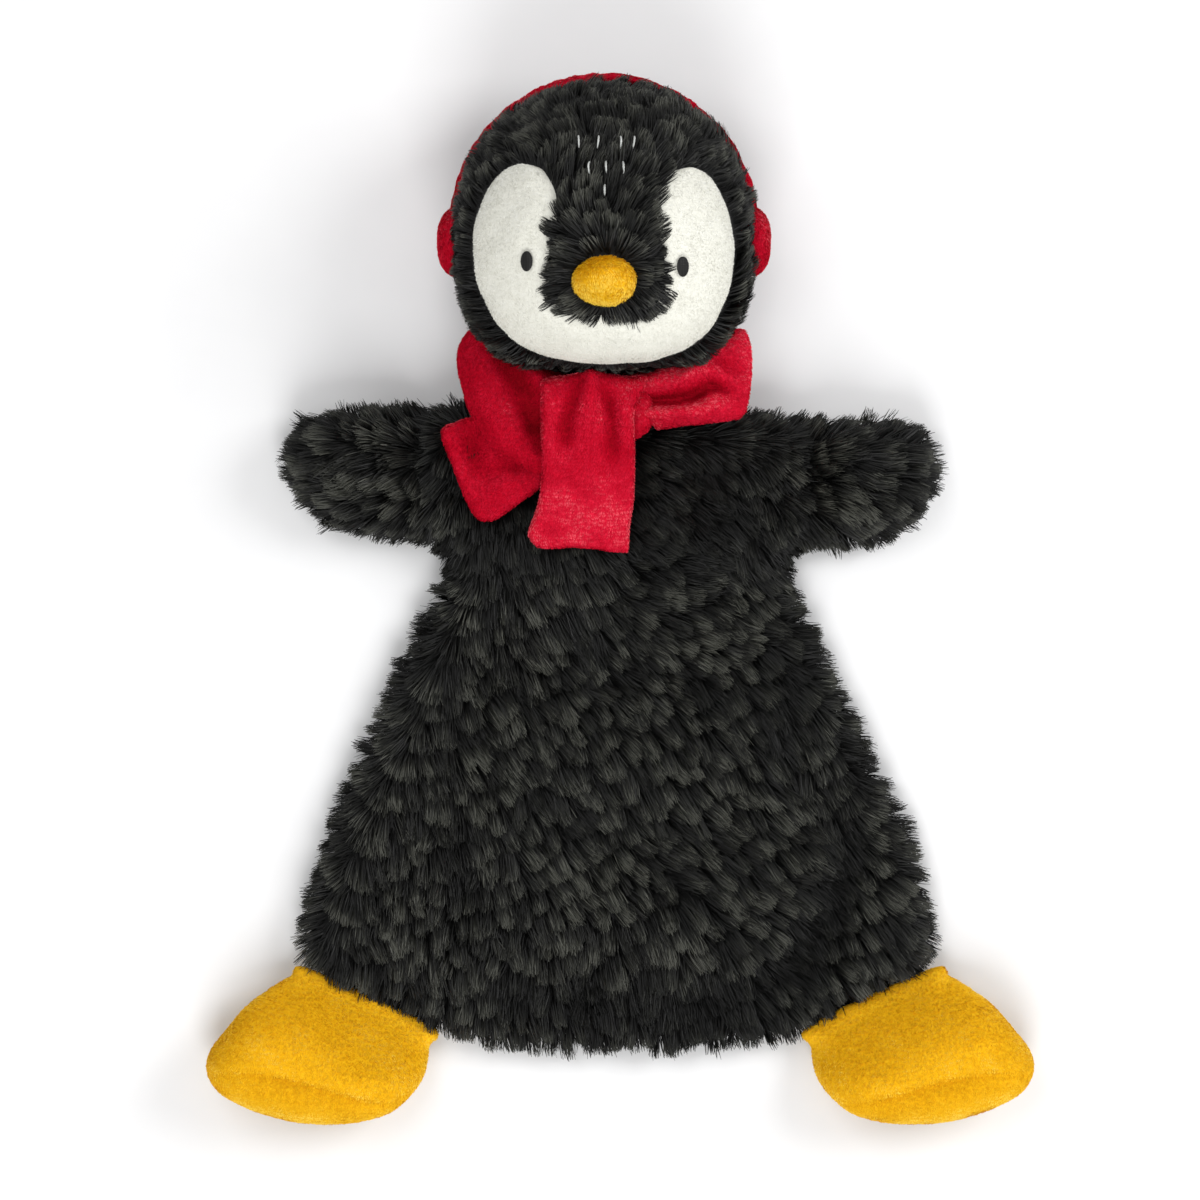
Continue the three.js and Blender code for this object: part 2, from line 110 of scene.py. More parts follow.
def squarish(wave):
    """A sine or cosine with fuller shoulders, for the section of a flattened tube."""
    return np.sign(wave) * np.abs(wave) ** 0.8


def full_turn(count):
    """Angles evenly round a circle, as one row."""
    return np.linspace(0, 2 * np.pi, count, endpoint=False)[None]


def flat_height(value):
    """A height that is the same everywhere."""
    return lambda p: np.full(len(p), float(value))


def along_y(stops):
    """A height that depends on y alone, from (y, z) stops."""
    y, z = np.array(sorted(stops), float).T
    return lambda p: np.interp(p[:, 1], y, z)


def fold(flat, path, width, height):
    """A soft ridge along a line, or a valley where height is below zero."""
    line = spline(path, 40, closed=False)
    gap = np.linalg.norm(flat[:, None, :2] - line[None], axis=2)
    nearest = gap.argmin(1)
    taper = np.sin(np.pi * (nearest + 1) / 41) ** 0.6
    return height * taper * np.exp(-(gap.min(1) / width) ** 2)


def folded(flat, folds):
    """The relief of several ridges and valleys, each a (path, width, height)."""
    return sum(fold(flat, *each) for each in folds)


def spline(points, count, closed=True):
    """Evenly spread points on a Catmull-Rom line through hand-set ones."""
    p = np.asarray(points, float)
    if closed:
        p = np.vstack([p[-1], p, p[0], p[1]])
    else:
        p = np.vstack([2 * p[0] - p[1], p, 2 * p[-1] - p[-2]])
    t = np.linspace(0, 1, 24, endpoint=False)[:, None]
    runs = []
    for a, b, c, d in zip(p[:-3], p[1:-2], p[2:-1], p[3:]):
        runs.append(0.5 * (2 * b + (c - a) * t + (2 * a - 5 * b + 4 * c - d) * t ** 2
                           + (3 * b - a - 3 * c + d) * t ** 3))
    line = np.vstack(runs + [p[-2][None]])
    along = np.r_[0, np.cumsum(np.linalg.norm(np.diff(line, axis=0), axis=1))]
    want = np.linspace(0, along[-1], count, endpoint=not closed)
    return np.stack([np.interp(want, along, line[:, n]) for n in range(p.shape[1])], 1)


class Plan:
    """A flat outline with, for any point, how far inside it lies and the way to its edge."""

    def __init__(self, outline, step=1.0, margin=14):
        self.low = outline.min(0) - margin
        self.step = step
        nx, ny = np.ceil((outline.max(0) + margin - self.low) / step).astype(int) + 1
        gx, gy = np.meshgrid(np.arange(nx), np.arange(ny), indexing="ij")
        grid = np.stack([gx, gy], -1).reshape(-1, 2) * step + self.low
        a, b = outline, np.roll(outline, -1, 0)
        nearest = np.full(len(grid), 1e9)
        inside = np.zeros(len(grid), bool)
        for (ax, ay), (bx, by) in zip(a, b):
            e = np.array([bx - ax, by - ay])
            w = grid - (ax, ay)
            t = np.clip(w @ e / max(e @ e, 1e-9), 0, 1)
            nearest = np.minimum(nearest, np.linalg.norm(w - t[:, None] * e, axis=1))
            crosses = (ay > grid[:, 1]) != (by > grid[:, 1])
            with np.errstate(divide="ignore", invalid="ignore"):
                cut = ax + (grid[:, 1] - ay) * e[0] / e[1]
            inside ^= crosses & (grid[:, 0] < cut)
        depth = np.where(inside, nearest, -nearest).reshape(nx, ny)
        self.depth = depth
        self.slope = np.stack(np.gradient(depth, step), -1)

    def at(self, points):
        """(how far inside each point is, the unit way towards the edge)."""
        g = (points[:, :2] - self.low) / self.step
        top = np.array(self.depth.shape) - 2
        i = np.clip(np.floor(g).astype(int), 0, top)
        f = np.clip(g - i, 0, 1)
        wx, wy = f[:, 0], f[:, 1]
        found = 0
        for dx, dy, w in ((0, 0, (1 - wx) * (1 - wy)), (1, 0, wx * (1 - wy)),
                          (0, 1, (1 - wx) * wy), (1, 1, wx * wy)):
            cell = (i[:, 0] + dx, i[:, 1] + dy)
            value = np.concatenate([self.depth[cell][:, None], self.slope[cell]], 1)
            found = found + w[:, None] * value
        return found[:, 0], -unit(found[:, 1:])


# ------------------------------------------------------------------ meshes
def build_mesh(name, points, quads, material, attributes=None, shade_smooth=True):
    """A mesh object from millimetre points and four-cornered faces."""
    mesh = bpy.data.meshes.new(name)
    mesh.vertices.add(len(points))
    mesh.vertices.foreach_set("co", (points * MM).astype(np.float32).ravel())
    mesh.loops.add(quads.size)
    mesh.loops.foreach_set("vertex_index", quads.astype(np.int32).ravel())
    mesh.polygons.add(len(quads))
    mesh.polygons.foreach_set("loop_start", np.arange(0, quads.size, 4, dtype=np.int32))
    mesh.update(calc_edges=True)
    mesh.polygons.foreach_set("use_smooth", np.full(len(quads), shade_smooth))
    for key, values in (attributes or {}).items():
        layer = mesh.attributes.new(key, "FLOAT", "POINT")
        layer.data.foreach_set("value", values.astype(np.float32))
    mesh.materials.append(material)
    piece = bpy.data.objects.new(name, mesh)
    bpy.context.collection.objects.link(piece)
    return piece


def grid_quads(rows, columns, wrap=False):
    """Faces of a grid of points, row by row; wrap joins the last column to the first."""
    r = np.arange(rows - 1)[:, None]
    c = np.arange(columns if wrap else columns - 1)[None]
    n = (c + 1) % columns
    corners = [(r + 1) * columns + c, (r + 1) * columns + n, r * columns + n, r * columns + c]
    return np.stack([np.broadcast_to(k, (rows - 1, c.size)).ravel() for k in corners], 1)


def globe(rows, columns, low=-np.pi / 2, high=np.pi / 2):
    """Directions over a ball between two latitudes, row by row, and the faces between them."""
    latitude = np.linspace(low, high, rows)[:, None]
    turn = full_turn(columns)
    way = np.stack([np.cos(latitude) * np.cos(turn), np.cos(latitude) * np.sin(turn),
                    np.sin(latitude) + 0 * turn], -1).reshape(-1, 3)
    return way, grid_quads(rows, columns, wrap=True)[:, ::-1]


def used_only(points, quads):
    """The same faces, without the points that none of them uses."""
    used = np.unique(quads)
    renumber = np.zeros(len(points), int)
    renumber[used] = np.arange(len(used))
    return points[used], renumber[quads]


def plan_grid(outline, plan, step, inset=0.0):
    """A grid over an outline, with its outer points drawn in to the edge. Returns the points, how
    far inside each lies, which are on the edge, the faces, and the faces' middles on the grid."""
    low, high = outline.min(0), outline.max(0)
    nx, ny = np.ceil((high - low) / step).astype(int) + 3
    gx, gy = np.meshgrid(low[0] + step * (np.arange(nx) - 1), low[1] + step * (np.arange(ny) - 1),
                         indexing="ij")
    flat = np.stack([gx.ravel(), gy.ravel()], 1)
    depth, outward = plan.at(flat)
    depth = depth - inset
    quads = grid_quads(nx, ny)
    quads = quads[(depth > -1.45 * step)[quads].all(1) & (depth[quads].max(1) > 0)]
    middles = flat[quads].mean(1)
    rim = depth < 0.25 * step
    flat[rim] += (outward * depth[:, None])[rim]
    return flat, depth, rim, quads, middles


def cushion(outline, top, bottom, seam, rounding, step=0.9):
    """A closed body over an outline: top and bottom are heights, met at the seam's height."""
    flat, depth, rim, quads, _ = plan_grid(outline, Plan(outline, step=0.5, margin=4), step)
    arch = dome(np.where(rim, 0, depth) / rounding)
    middle = seam(flat)
    upper = np.column_stack([flat, middle + (top(flat) - middle) * arch])
    lower = np.column_stack([flat, middle + (bottom(flat) - middle) * arch])
    below = np.where(rim, np.arange(len(flat)), np.arange(len(flat)) + len(flat))
    return used_only(np.vstack([upper, lower]), np.vstack([quads, below[quads][:, ::-1]]))


def settle(pieces, hang):
    """Hangs each piece on the body that hang names, or, where hang is a function, lets it bake the
    piece's place into its mesh."""
    for piece in pieces:
        if callable(hang):
            hang(piece)
        else:
            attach(piece, hang)


def bend(parent, child, start, end):
    """Returns a function that bakes a piece's place into its mesh. Parent and child are not used,
    nor are start and end, which are (x, y) in millimetres."""
    def hang(piece):
        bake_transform(piece)
    return hang


# ------------------------------------------------------------------ fur
# Along a strand: how far, how wide and how light. Long pile bends, short pile is one flat blade.
LONG_PILE = np.array([(0.0, 0.9, 0.1), (0.36, 1.0, 0.45), (0.72, 0.85, 0.85), (1.0, 0.4, 1.0)])
SHORT_PILE = np.array([(0.0, 1.0, 0.62), (1.0, 0.55, 1.0)])
MOST_STRANDS = 30000                # in one piece, so that its mesh stays easy to store
TUFT_JITTER = (0.7, 0.45, 0.7)      # how far tufts stray from their rows, as shares of a cell


def lattice(across, along, slant_deg):
    """Turns millimetres into tuft cells whose rows climb to the right at an angle."""
    c, n = math.cos(math.radians(slant_deg)), math.sin(math.radians(slant_deg))
    turn = np.array([[c, -n, 0], [n, c, 0], [0, 0, 1]])
    return turn / np.array([across, along, across])


def clumps(points, cells, seed):
    """For each point, the middle of its tuft and the tuft's cell, from a jittered lattice."""
    placed = points @ cells
    placed = placed + 0.22 * np.stack([ripple(points, 26, seed + 20 + n) for n in range(3)], 1)
    here = np.floor(placed)
    best = np.full(len(points), 1e9)
    offset = np.zeros_like(points)
    cell = np.zeros_like(points)
    for dx in (-1, 0, 1):
        for dy in (-1, 0, 1):
            for dz in (-1, 0, 1):
                c = here + (dx, dy, dz)
                chance = np.stack([hashed(c, seed + n) for n in range(3)], 1)
                away = c + (0.5 + (chance - 0.5) * TUFT_JITTER) - placed
                d = np.linalg.norm(away, axis=1)
                closer = d < best
                best[closer] = d[closer]
                offset[closer] = away[closer]
                cell[closer] = c[closer]
    return offset @ np.linalg.inv(cells), cell, best


def grow(roots, normals, comb, length, lift_deg, seed, cells, gather=(0.72, 0.42), width=0.3,
         swing_deg=16, floor=0.15, pile=LONG_PILE, tuft_tone=0.35, grain=0.25, painted_parting_shade=0.6):
    """Flat tapering strands in tufts, drawn together by shares gather along the comb and across it.
    Tufts swing by up to swing_deg and differ in tone by tuft_tone, and strands by grain. They stay
    above the floor height, and get painted shade, darker by a share painted_parting_shade, in the
    partings between tufts. Returns the points and shades of each strand."""
    rng = np.random.default_rng(seed)
    count = len(roots)
    inward, cell, off_middle = clumps(roots, cells, seed)
    swing = np.radians(swing_deg) * (2 * hashed(cell, seed + 5) - 1) + rng.normal(0, 0.09, count)
    ahead = unit(comb - (comb * normals).sum(1, keepdims=True) * normals)
    side = np.cross(normals, ahead)
    ahead = ahead * np.cos(swing)[:, None] + side * np.sin(swing)[:, None]
    side = np.cross(normals, ahead)
    long = length * (0.85 + 0.25 * hashed(cell, seed + 6)) * rng.normal(1, 0.05, count)
    lift = np.radians(lift_deg * (0.75 + 0.5 * hashed(cell, seed + 7)) + rng.normal(0, 3.5, count))
    pull_ahead = (inward * ahead).sum(1) * gather[0]
    pull_side = (inward * side).sum(1) * gather[1]
    roll = rng.uniform(-0.9, 0.9, count)
    bow = rng.normal(0, 0.22, count)
    half = 0.5 * width * rng.uniform(0.7, 1.2, count)
    across = side * np.cos(roll)[:, None] + normals * np.sin(roll)[:, None]
    rows = []
    for t, w, _ in pile:
        reach = long * t * np.cos(lift) + pull_ahead * t ** 1.2
        rise = long * np.sin(lift) * (t - 0.4 * t * t)
        sway = pull_side * t ** 1.3 + bow * np.sin(np.pi * t)
        centre = roots + ahead * reach[:, None] + normals * rise[:, None] + side * sway[:, None]
        for sign in (-1, 1):
            point = centre + across * (sign * w * half)[:, None]
            point[:, 2] = np.maximum(point[:, 2], floor + 0.4 * t * hashed(cell, seed + 8))
            rows.append(point)
    points = np.stack(rows, 1)
    tone = 1 - tuft_tone * (0.7 - hashed(cell, seed + 9))
    tone *= rng.uniform(1 - grain, 1 + grain, count)
    # Painted shade: strands far from their tuft's middle are darker, in the partings.
    tone *= 1 - painted_parting_shade * np.clip(off_middle / 0.72, 0, 1) ** 2
    shade = np.repeat(pile[:, 2], 2)[None] * tone[:, None]
    return points, shade


def fur_pieces(name, points, shade, material):
    """Objects that hold the strands, in as many pieces as their number needs."""
    made = []
    parts = max(1, math.ceil(len(points) / MOST_STRANDS))
    for n, (p, s) in enumerate(zip(np.array_split(points, parts), np.array_split(shade, parts))):
        rings = 2 * np.arange(p.shape[1] // 2 - 1)[:, None] + np.array([0, 1, 3, 2])
        quads = (rings[None] + p.shape[1] * np.arange(len(p))[:, None, None]).reshape(-1, 4)
        label = f"{name}_{n + 1}" if parts > 1 else name
        made.append(build_mesh(label, p.reshape(-1, 3), quads, material,
                               {"shade": s.ravel()}, shade_smooth=False))
    return made


def density(per_mm2):
    return per_mm2 * 1.0


def scatter(points, quads, per_mm2, seed):
    """Points spread evenly over a mesh, with the mesh's own smooth normals."""
    rng = np.random.default_rng(seed)
    corner = points[quads]
    across = np.cross(corner[:, 2] - corner[:, 0], corner[:, 3] - corner[:, 1])
    at_points = np.zeros_like(points)
    for n in range(4):
        np.add.at(at_points, quads[:, n], across)
    area = np.linalg.norm(across, axis=1) / 2
    count = int(area.sum() * density(per_mm2))
    chosen = rng.choice(len(quads), count, p=area / area.sum())
    u, v = rng.uniform(0, 1, (2, count, 1))
    weights = ((1 - u) * (1 - v), u * (1 - v), u * v, (1 - u) * v)
    roots = sum(w * corner[chosen, n] for n, w in enumerate(weights))
    normals = unit(sum(w * at_points[quads[chosen, n]] for n, w in enumerate(weights)))
    return roots, normals


def nap(name, points, quads, comb, material, seed, length=0.95, per_mm2=11.0, lift_deg=34,
        width=0.2, tone=None, velvet=0.4, painted_rim_sheen=0.25):
    """Short pile brushed one way over a cloth piece, in fine rows across the brushing. Where the
    cloth falls away along the brushing the pile gets painted shade, and where it rises painted
    light, by a share velvet; below zero that share swaps them. Steep sides get a painted sheen,
    lighter by a share painted_rim_sheen, and tone adds light and dark places."""
    roots, normals = scatter(points, quads, per_mm2, seed)
    straight = unit(np.asarray(comb, float)[None])
    way = straight + 0.25 * np.stack([ripple(roots, 14, seed + n) for n in range(3)], 1)
    strands, shade = grow(roots - 0.05 * normals, normals, way, length, lift_deg, seed,
                          lattice(2.0, 0.9, 0), gather=(0.35, 0.1), width=width, swing_deg=12,
                          pile=SHORT_PILE, tuft_tone=0.14, grain=0.06, painted_parting_shade=0.15)
    # Painted shade where the cloth falls away along the brushing and painted light where it rises,
    # times random tone, then a painted sheen on steep sides.
    lean = (normals * straight).sum(1)
    tone_and_painted_light = (1 - velvet * lean) * (1 + 0.10 * ripple(roots, 10, seed + 7))
    tone_and_painted_light *= 1 + painted_rim_sheen * (1 - np.abs(normals[:, 2])) ** 2
    if tone is not None:
        tone_and_painted_light = tone_and_painted_light * tone(roots)
    return fur_pieces(name, strands, 0.93 * shade * tone_and_painted_light[:, None], material)


# ------------------------------------------------------------------ materials
def new_material(name, colour, roughness, **sockets):
    """A Principled material with its constant values on its own sockets."""
    material = bpy.data.materials.new(name)
    material.use_nodes = True
    shader = material.node_tree.nodes["Principled BSDF"]
    shader.inputs["Base Color"].default_value = (*colour, 1)
    shader.inputs["Roughness"].default_value = roughness
    for key, value in sockets.items():
        shader.inputs[key.replace("_", " ")].default_value = value
    return material, material.node_tree, shader


def paint(tree, shader, source, stops):
    """Colours the shader by (place, colour) stops along a source that runs from 0 to 1."""
    ramp = tree.nodes.new("ShaderNodeValToRGB")
    while len(ramp.color_ramp.elements) < len(stops):
        ramp.color_ramp.elements.new(0.5)
    for element, (place, colour) in zip(ramp.color_ramp.elements, stops):
        element.position = place
        element.color = (*colour, 1)
    tree.links.new(source, ramp.inputs["Fac"])
    tree.links.new(ramp.outputs["Color"], shader.inputs["Base Color"])


def mesh_value(tree, name):
    """A number that the mesh holds at each of its points."""
    node = tree.nodes.new("ShaderNodeAttribute")
    node.attribute_name = name
    return node.outputs["Fac"]


def pattern(tree, kind, **sockets):
    """A procedural pattern that stays with the cloth, from 0 to 1."""
    node = tree.nodes.new(kind)
    for key, value in sockets.items():
        node.inputs[key].default_value = value
    place = tree.nodes.new("ShaderNodeTexCoord").outputs["Object"]
    tree.links.new(place, node.inputs["Vector"])
    return node.outputs["Fac"]


def noise(tree, scale, detail=2.0, distortion=0.0):
    """Cloudy noise, with features about 1 / scale metres wide."""
    return pattern(tree, "ShaderNodeTexNoise", Scale=scale, Detail=detail, Distortion=distortion)


def fur_material():
    """Single hairs of long pile: nearly black at the root, charcoal at the tip."""
    material, tree, shader = new_material("charcoal_long_pile", (0.02, 0.02, 0.02), 0.5,
                                          Specular_IOR_Level=0.22)
    paint(tree, shader, mesh_value(tree, "shade"),
          [(0.0, (0.0003, 0.0003, 0.0003)), (0.4, (0.0017, 0.0018, 0.0015)),
           (0.7, (0.0125, 0.0128, 0.0103)), (1.0, (0.062, 0.063, 0.052))])
    return material


def nap_material(name, dark, mid, light, painted_highlight):
    """Single hairs of short pile: dark at the root, light at the tip."""
    material, tree, shader = new_material(name, mid, 0.75, Specular_IOR_Level=0.03,
                                          Sheen_Weight=0.15, Sheen_Tint=(*light, 1))
    paint(tree, shader, mesh_value(tree, "shade"),
          [(0.1, dark), (0.45, mid), (0.8, light), (1.0, painted_highlight)])
    return material


def backing_material():
    """The knitted ground under the pile, seen only in the partings."""
    material, tree, shader = new_material("charcoal_backing", (0.004, 0.004, 0.004), 0.9)
    paint(tree, shader, noise(tree, 900, 3),
          [(0.3, (0.0015, 0.0015, 0.0015)), (0.8, (0.008, 0.008, 0.0078))])
    return material


def velboa_material(name, dark, mid, light, painted_highlight, bump=0.35, mottle=260, sheen=0.5):
    """Short-pile plush: brushed patches of pile that lean different ways, fine nap, painted shade
    in the creases where a mesh's painted_shading value is above zero, painted light where it is
    below zero, and a painted highlight as the lightest tone."""
    material, tree, shader = new_material(name, mid, 0.88, Specular_IOR_Level=0.06,
                                          Sheen_Weight=sheen, Sheen_Roughness=0.45,
                                          Sheen_Tint=(*light, 1))
    mix = tree.nodes.new("ShaderNodeMix")
    mix.data_type = "FLOAT"
    mix.inputs["Factor"].default_value = 0.42
    tree.links.new(noise(tree, mottle, 4, 0.6), mix.inputs["A"])
    tree.links.new(noise(tree, 2600), mix.inputs["B"])
    # Painted shade: the mesh's painted_shading value darkens the colour, and lightens it as painted
    # light below zero.
    depth = tree.nodes.new("ShaderNodeMath")
    depth.operation = "MULTIPLY_ADD"
    depth.inputs[1].default_value = -0.25
    tree.links.new(mesh_value(tree, "painted_shading"), depth.inputs[0])
    tree.links.new(mix.outputs["Result"], depth.inputs[2])
    paint(tree, shader, depth.outputs["Value"],
          [(0.25, dark), (0.5, mid), (0.75, light), (1.0, painted_highlight)])
    bumps = tree.nodes.new("ShaderNodeBump")
    bumps.inputs["Strength"].default_value = bump
    bumps.inputs["Distance"].default_value = 0.0006
    tree.links.new(mix.outputs["Result"], bumps.inputs["Height"])
    tree.links.new(bumps.outputs["Normal"], shader.inputs["Normal"])
    return material


def thread_material(name, dark, light, scale, **sockets):
    """Fine parallel threads of embroidery."""
    material, tree, shader = new_material(name, light, 0.5, **sockets)
    waves = pattern(tree, "ShaderNodeTexWave", Scale=scale, Distortion=1.5)
    paint(tree, shader, waves, [(0.1, dark), (0.8, light)])
    return material


FUR = fur_material()
BACKING = backing_material()
# Each cloth's dark, mid and light tones, then a painted highlight as the lightest.
YELLOW_TONES = ((0.50, 0.22, 0.002), (0.67, 0.345, 0.004), (0.75, 0.43, 0.014),
                (0.82, 0.55, 0.06))
RED_TONES = ((0.20, 0.0003, 0.004), (0.39, 0.0008, 0.012), (0.60, 0.010, 0.036),
             (0.76, 0.085, 0.12))
WHITE_TONES = ((0.56, 0.555, 0.49), (0.66, 0.655, 0.59), (0.71, 0.705, 0.65), (0.77, 0.77, 0.73))
VELBOA = {                          # the cloth and its pile
    "white": (velboa_material("white_velboa", *WHITE_TONES, bump=0.1, mottle=500, sheen=0.15),
              nap_material("white_velboa_pile", *WHITE_TONES)),
    "yellow": (velboa_material("yellow_velboa", *YELLOW_TONES, bump=0.1, mottle=900, sheen=0.4),
               nap_material("yellow_velboa_pile", *YELLOW_TONES)),
    "red": (velboa_material("red_velboa", *RED_TONES, bump=0.2, mottle=900, sheen=0.15),
            nap_material("red_velboa_pile", *RED_TONES)),
}
GREY_THREAD = thread_material("pale_grey_thread", (0.28, 0.29, 0.28), (0.52, 0.53, 0.51), 900)
EYE_THREAD = thread_material("dark_satin_thread", (0.002, 0.002, 0.002), (0.013, 0.013, 0.012),
                             700, Specular_IOR_Level=0.2)
STUFFING = velboa_material("polyester_fibre", (0.7, 0.7, 0.68), (0.82, 0.82, 0.8),
                           (0.86, 0.86, 0.84), (0.9, 0.9, 0.88))


def plush(name, points, quads, colour, hang, comb, seed, nodes=(), fill=None, flat=None,
          held=None, rests_on=None, painted_shading=None, **pile):
    """A velboa piece with its pile. Fill, a share of stuffing, and flat, a sheet's flat size in
    metres, are not used. It hides the CAD nodes, or the one with its own name."""
    # painted_shading is painted shade on the cloth, and painted light below zero.
    attributes = None if painted_shading is None else {"painted_shading": painted_shading}
    cloth, hairs = VELBOA[colour]
    piece = build_mesh(f"{name}_velboa", points, quads, cloth, attributes)
    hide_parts(*(nodes or [name]))
    settle([piece, *nap(f"{name}_nap", points, quads, comb, hairs, seed, **pile)], hang)


def stuffing(name, nodes, points, quads, hang):
    """A body of loose fibre under the cloth."""
    piece = build_mesh(f"{name}_fibre", points, quads, STUFFING)
    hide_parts(*nodes)
    settle([piece], hang)


# ------------------------------------------------------------------ body: torso, arms and skirt
# The skin's edge on each side, from the hem up to the neck, without the pile.
RIGHT_EDGE = [
    (30, -123.8), (48, -120.8), (60, -115.8), (74, -108.8), (83, -104.6), (86.4, -99.5),
    (86.2, -93), (83.4, -82), (80.4, -70.5), (75.4, -60), (69, -47.5), (64.4, -36.5), (59.2, -25),
    (54, -14), (48.4, -3.5), (45.8, 5), (46, 13), (50, 17.8), (59.4, 18.8), (71, 19.4),
    (79.4, 23), (86.2, 30.2), (88.2, 38), (85.8, 45), (79.4, 49.2), (68.4, 49.2), (56.4, 49.6),
    (44.4, 50.4), (28.4, 52.2), (14, 53.2)]
LEFT_EDGE = [
    (-30, -123.8), (-48, -120.8), (-60, -115.8), (-74, -109), (-84, -104.8), (-87.8, -99.5),
    (-87.6, -93), (-85, -82.5), (-81.6, -71), (-77.5, -60), (-72.2, -48.5), (-66.6, -37),
    (-62, -25.5), (-56.8, -14), (-51.2, -3), (-47.4, 5), (-47.6, 12.6), (-51.6, 18.8),
    (-62, 20.9), (-74.5, 22.2), (-82.5, 25.2), (-90.4, 32.2), (-93.4, 39.9), (-91.4, 46.6),
    (-85, 51), (-74, 52.8), (-61, 52), (-48.4, 53.6), (-32.4, 55), (-18, 55.6)]


def body_outline():
    """The skin's edge, anticlockwise from the middle of the hem."""
    return spline([(0, -125)] + RIGHT_EDGE + LEFT_EDGE[::-1], 420)


OUTLINE = body_outline()
BODY = Plan(OUTLINE)
SEAM_Z = 6.0                        # the height of the seam round the body's edge
LOW_SKIN_Z = 2.6                    # the back skin, held off the table by its pile
EDGE_ROUND = 11.0                   # how far in from the edge the front skin rounds over
HEM_VALLEY = [(-38, -103), (-20, -110), (9, -114), (40, -105), (56, -84), (62, -58)]
SIDE_VALLEY = [(43, -4), (47, -28), (46, -54)]


def in_valley(points):
    """Where the flat skirt dips between its loose filling and its edge, from 0 to 1."""
    return np.maximum(fold(points, HEM_VALLEY, 7.5, 1.0), fold(points, SIDE_VALLEY, 6.0, 0.7))


def body_top(points):
    """Height of the front skin over the table."""
    depth, _ = BODY.at(points)
    x, y = points[:, 0] - TORSO_X, points[:, 1]
    chest = smooth(2, 26, y)            # 0 on the flat skirt, 1 on the stuffed chest
    out = smooth(52, 70, np.abs(x))     # 1 in the arms
    crown = 10.5 + 6.5 * chest + 2.5 * out * chest
    shoulder = np.exp(-((np.abs(x) - 54) / 3.5) ** 2) * smooth(14, 20, y) * 1.6
    waist = np.exp(-((y - WAIST_Y - 4) / 4.0) ** 2) * 0.8
    relief = 0.9 * ripple(points[:, :2], 46, 11) + 0.4 * ripple(points[:, :2], 17, 12)
    dip = 1.8 * in_valley(points)
    return SEAM_Z + (crown - SEAM_Z - shoulder - waist - dip + relief) * dome(depth / EDGE_ROUND)


def body_bottom(points):
    """Height of the back skin: flat on the table, round at the edge."""
    depth, _ = BODY.at(points)
    return SEAM_Z - (SEAM_Z - LOW_SKIN_Z) * dome(depth / 6.0)


def surface_normals(height, points, up):
    """Unit normals of a height field, by small steps."""
    step = 0.6
    dx = height(points + (step, 0)) - height(points - (step, 0))
    dy = height(points + (0, step)) - height(points - (0, step))
    n = np.stack([-dx / (2 * step), -dy / (2 * step), np.ones(len(points))], 1)
    return unit(n) * up


def body_comb(points, depth, outward):
    """Which way the pile lies, in the plane of the table: down the body and mostly leaning to the
    right, out along the arms, and outwards at the edge. The lean is in degrees from straight
    down."""
    x, y = points[:, 0] - TORSO_X, points[:, 1]
    lean = 8 + 32 * smooth(-62, 12, x) * smooth(-140, -60, y + 0.4 * x)
    lean += 48 * np.exp(-((x - 14) ** 2 + (y - 10) ** 2) / 15 ** 2)
    lean -= 26 * np.exp(-(((x + 34) / 16) ** 2 + ((y - 30) / 14) ** 2))
    lean = np.radians(lean + 13 * ripple(points[:, :2], 60, 21))
    down = np.stack([np.sin(lean), -np.cos(lean)], 1)
    arm = smooth(38, 60, np.abs(x)) * smooth(12, 22, y)
    sideways = np.stack([np.sign(x), -0.3 + 0.35 * ripple(points[:, :2], 30, 22)], 1)
    flow = down * (1 - arm)[:, None] + sideways * arm[:, None]
    rim = (1 - smooth(0, 12, depth)) * 0.75
    flow = unit(flow) * (1 - rim)[:, None] + outward * rim[:, None]
    return np.concatenate([unit(flow), np.zeros((len(points), 1))], 1)


def body_roots(per_mm2, height, up, seed):
    """Points spread evenly over the front or back skin, with their normals."""
    rng = np.random.default_rng(seed)
    low, high = OUTLINE.min(0), OUTLINE.max(0)
    crowd = 3.0                     # the most that the steep edge adds to the flat density
    count = int(np.prod(high - low) * density(per_mm2) * crowd)
    flat = rng.uniform(low, high, (count, 2))
    depth, _ = BODY.at(flat)
    flat = flat[depth > 0.12]
    normals = surface_normals(height, flat, up)
    stretch = np.minimum(1 / np.maximum(np.abs(normals[:, 2]), 0.05), crowd)
    keep = rng.uniform(0, crowd, len(flat)) < stretch
    flat, normals = flat[keep], normals[keep]
    return np.column_stack([flat, height(flat)]), normals


def skin_grid(height, up, region, inset=0.0):
    """A fine grid over part of the body's front or back."""
    flat, _, _, quads, middles = plan_grid(OUTLINE, BODY, 1.6, inset)
    quads = quads[region(middles)][:, ::up]
    return used_only(np.column_stack([flat, height(flat)]), quads)


ARM_CUT = 46.0                      # pieces further out than this belong to the arms
ARMPIT_Y = 17.5
REGIONS = {
    "trunk": lambda p: (np.abs(p[:, 0] - TORSO_X) < ARM_CUT) | (p[:, 1] < ARMPIT_Y),
    "arm_left": lambda p: (p[:, 0] - TORSO_X <= -ARM_CUT) & (p[:, 1] >= ARMPIT_Y),
    "arm_right": lambda p: (p[:, 0] - TORSO_X >= ARM_CUT) & (p[:, 1] >= ARMPIT_Y),
}
TUFTS = {"trunk": lattice(4.4, 6.8, 24), "arm_left": lattice(6.6, 4.4, 0),
         "arm_right": lattice(6.6, 4.4, 0)}


WAIST_BEND = (17.5, 0.5)            # the waist's places along y, given to bend
SHOULDER_BEND = (46.5, 62.5)        # distances from the middle at the shoulders, given to bend


def on_body(region):
    """The hanging for a piece of the trunk or of an arm: it bakes the piece's place into its mesh.
    """
    if region == "trunk":
        return bend("torso", "skirt", *[(0, y) for y in WAIST_BEND])
    sign = 1 if region == "arm_right" else -1
    return bend("torso", region, *[(TORSO_X + sign * out, 0) for out in SHOULDER_BEND])


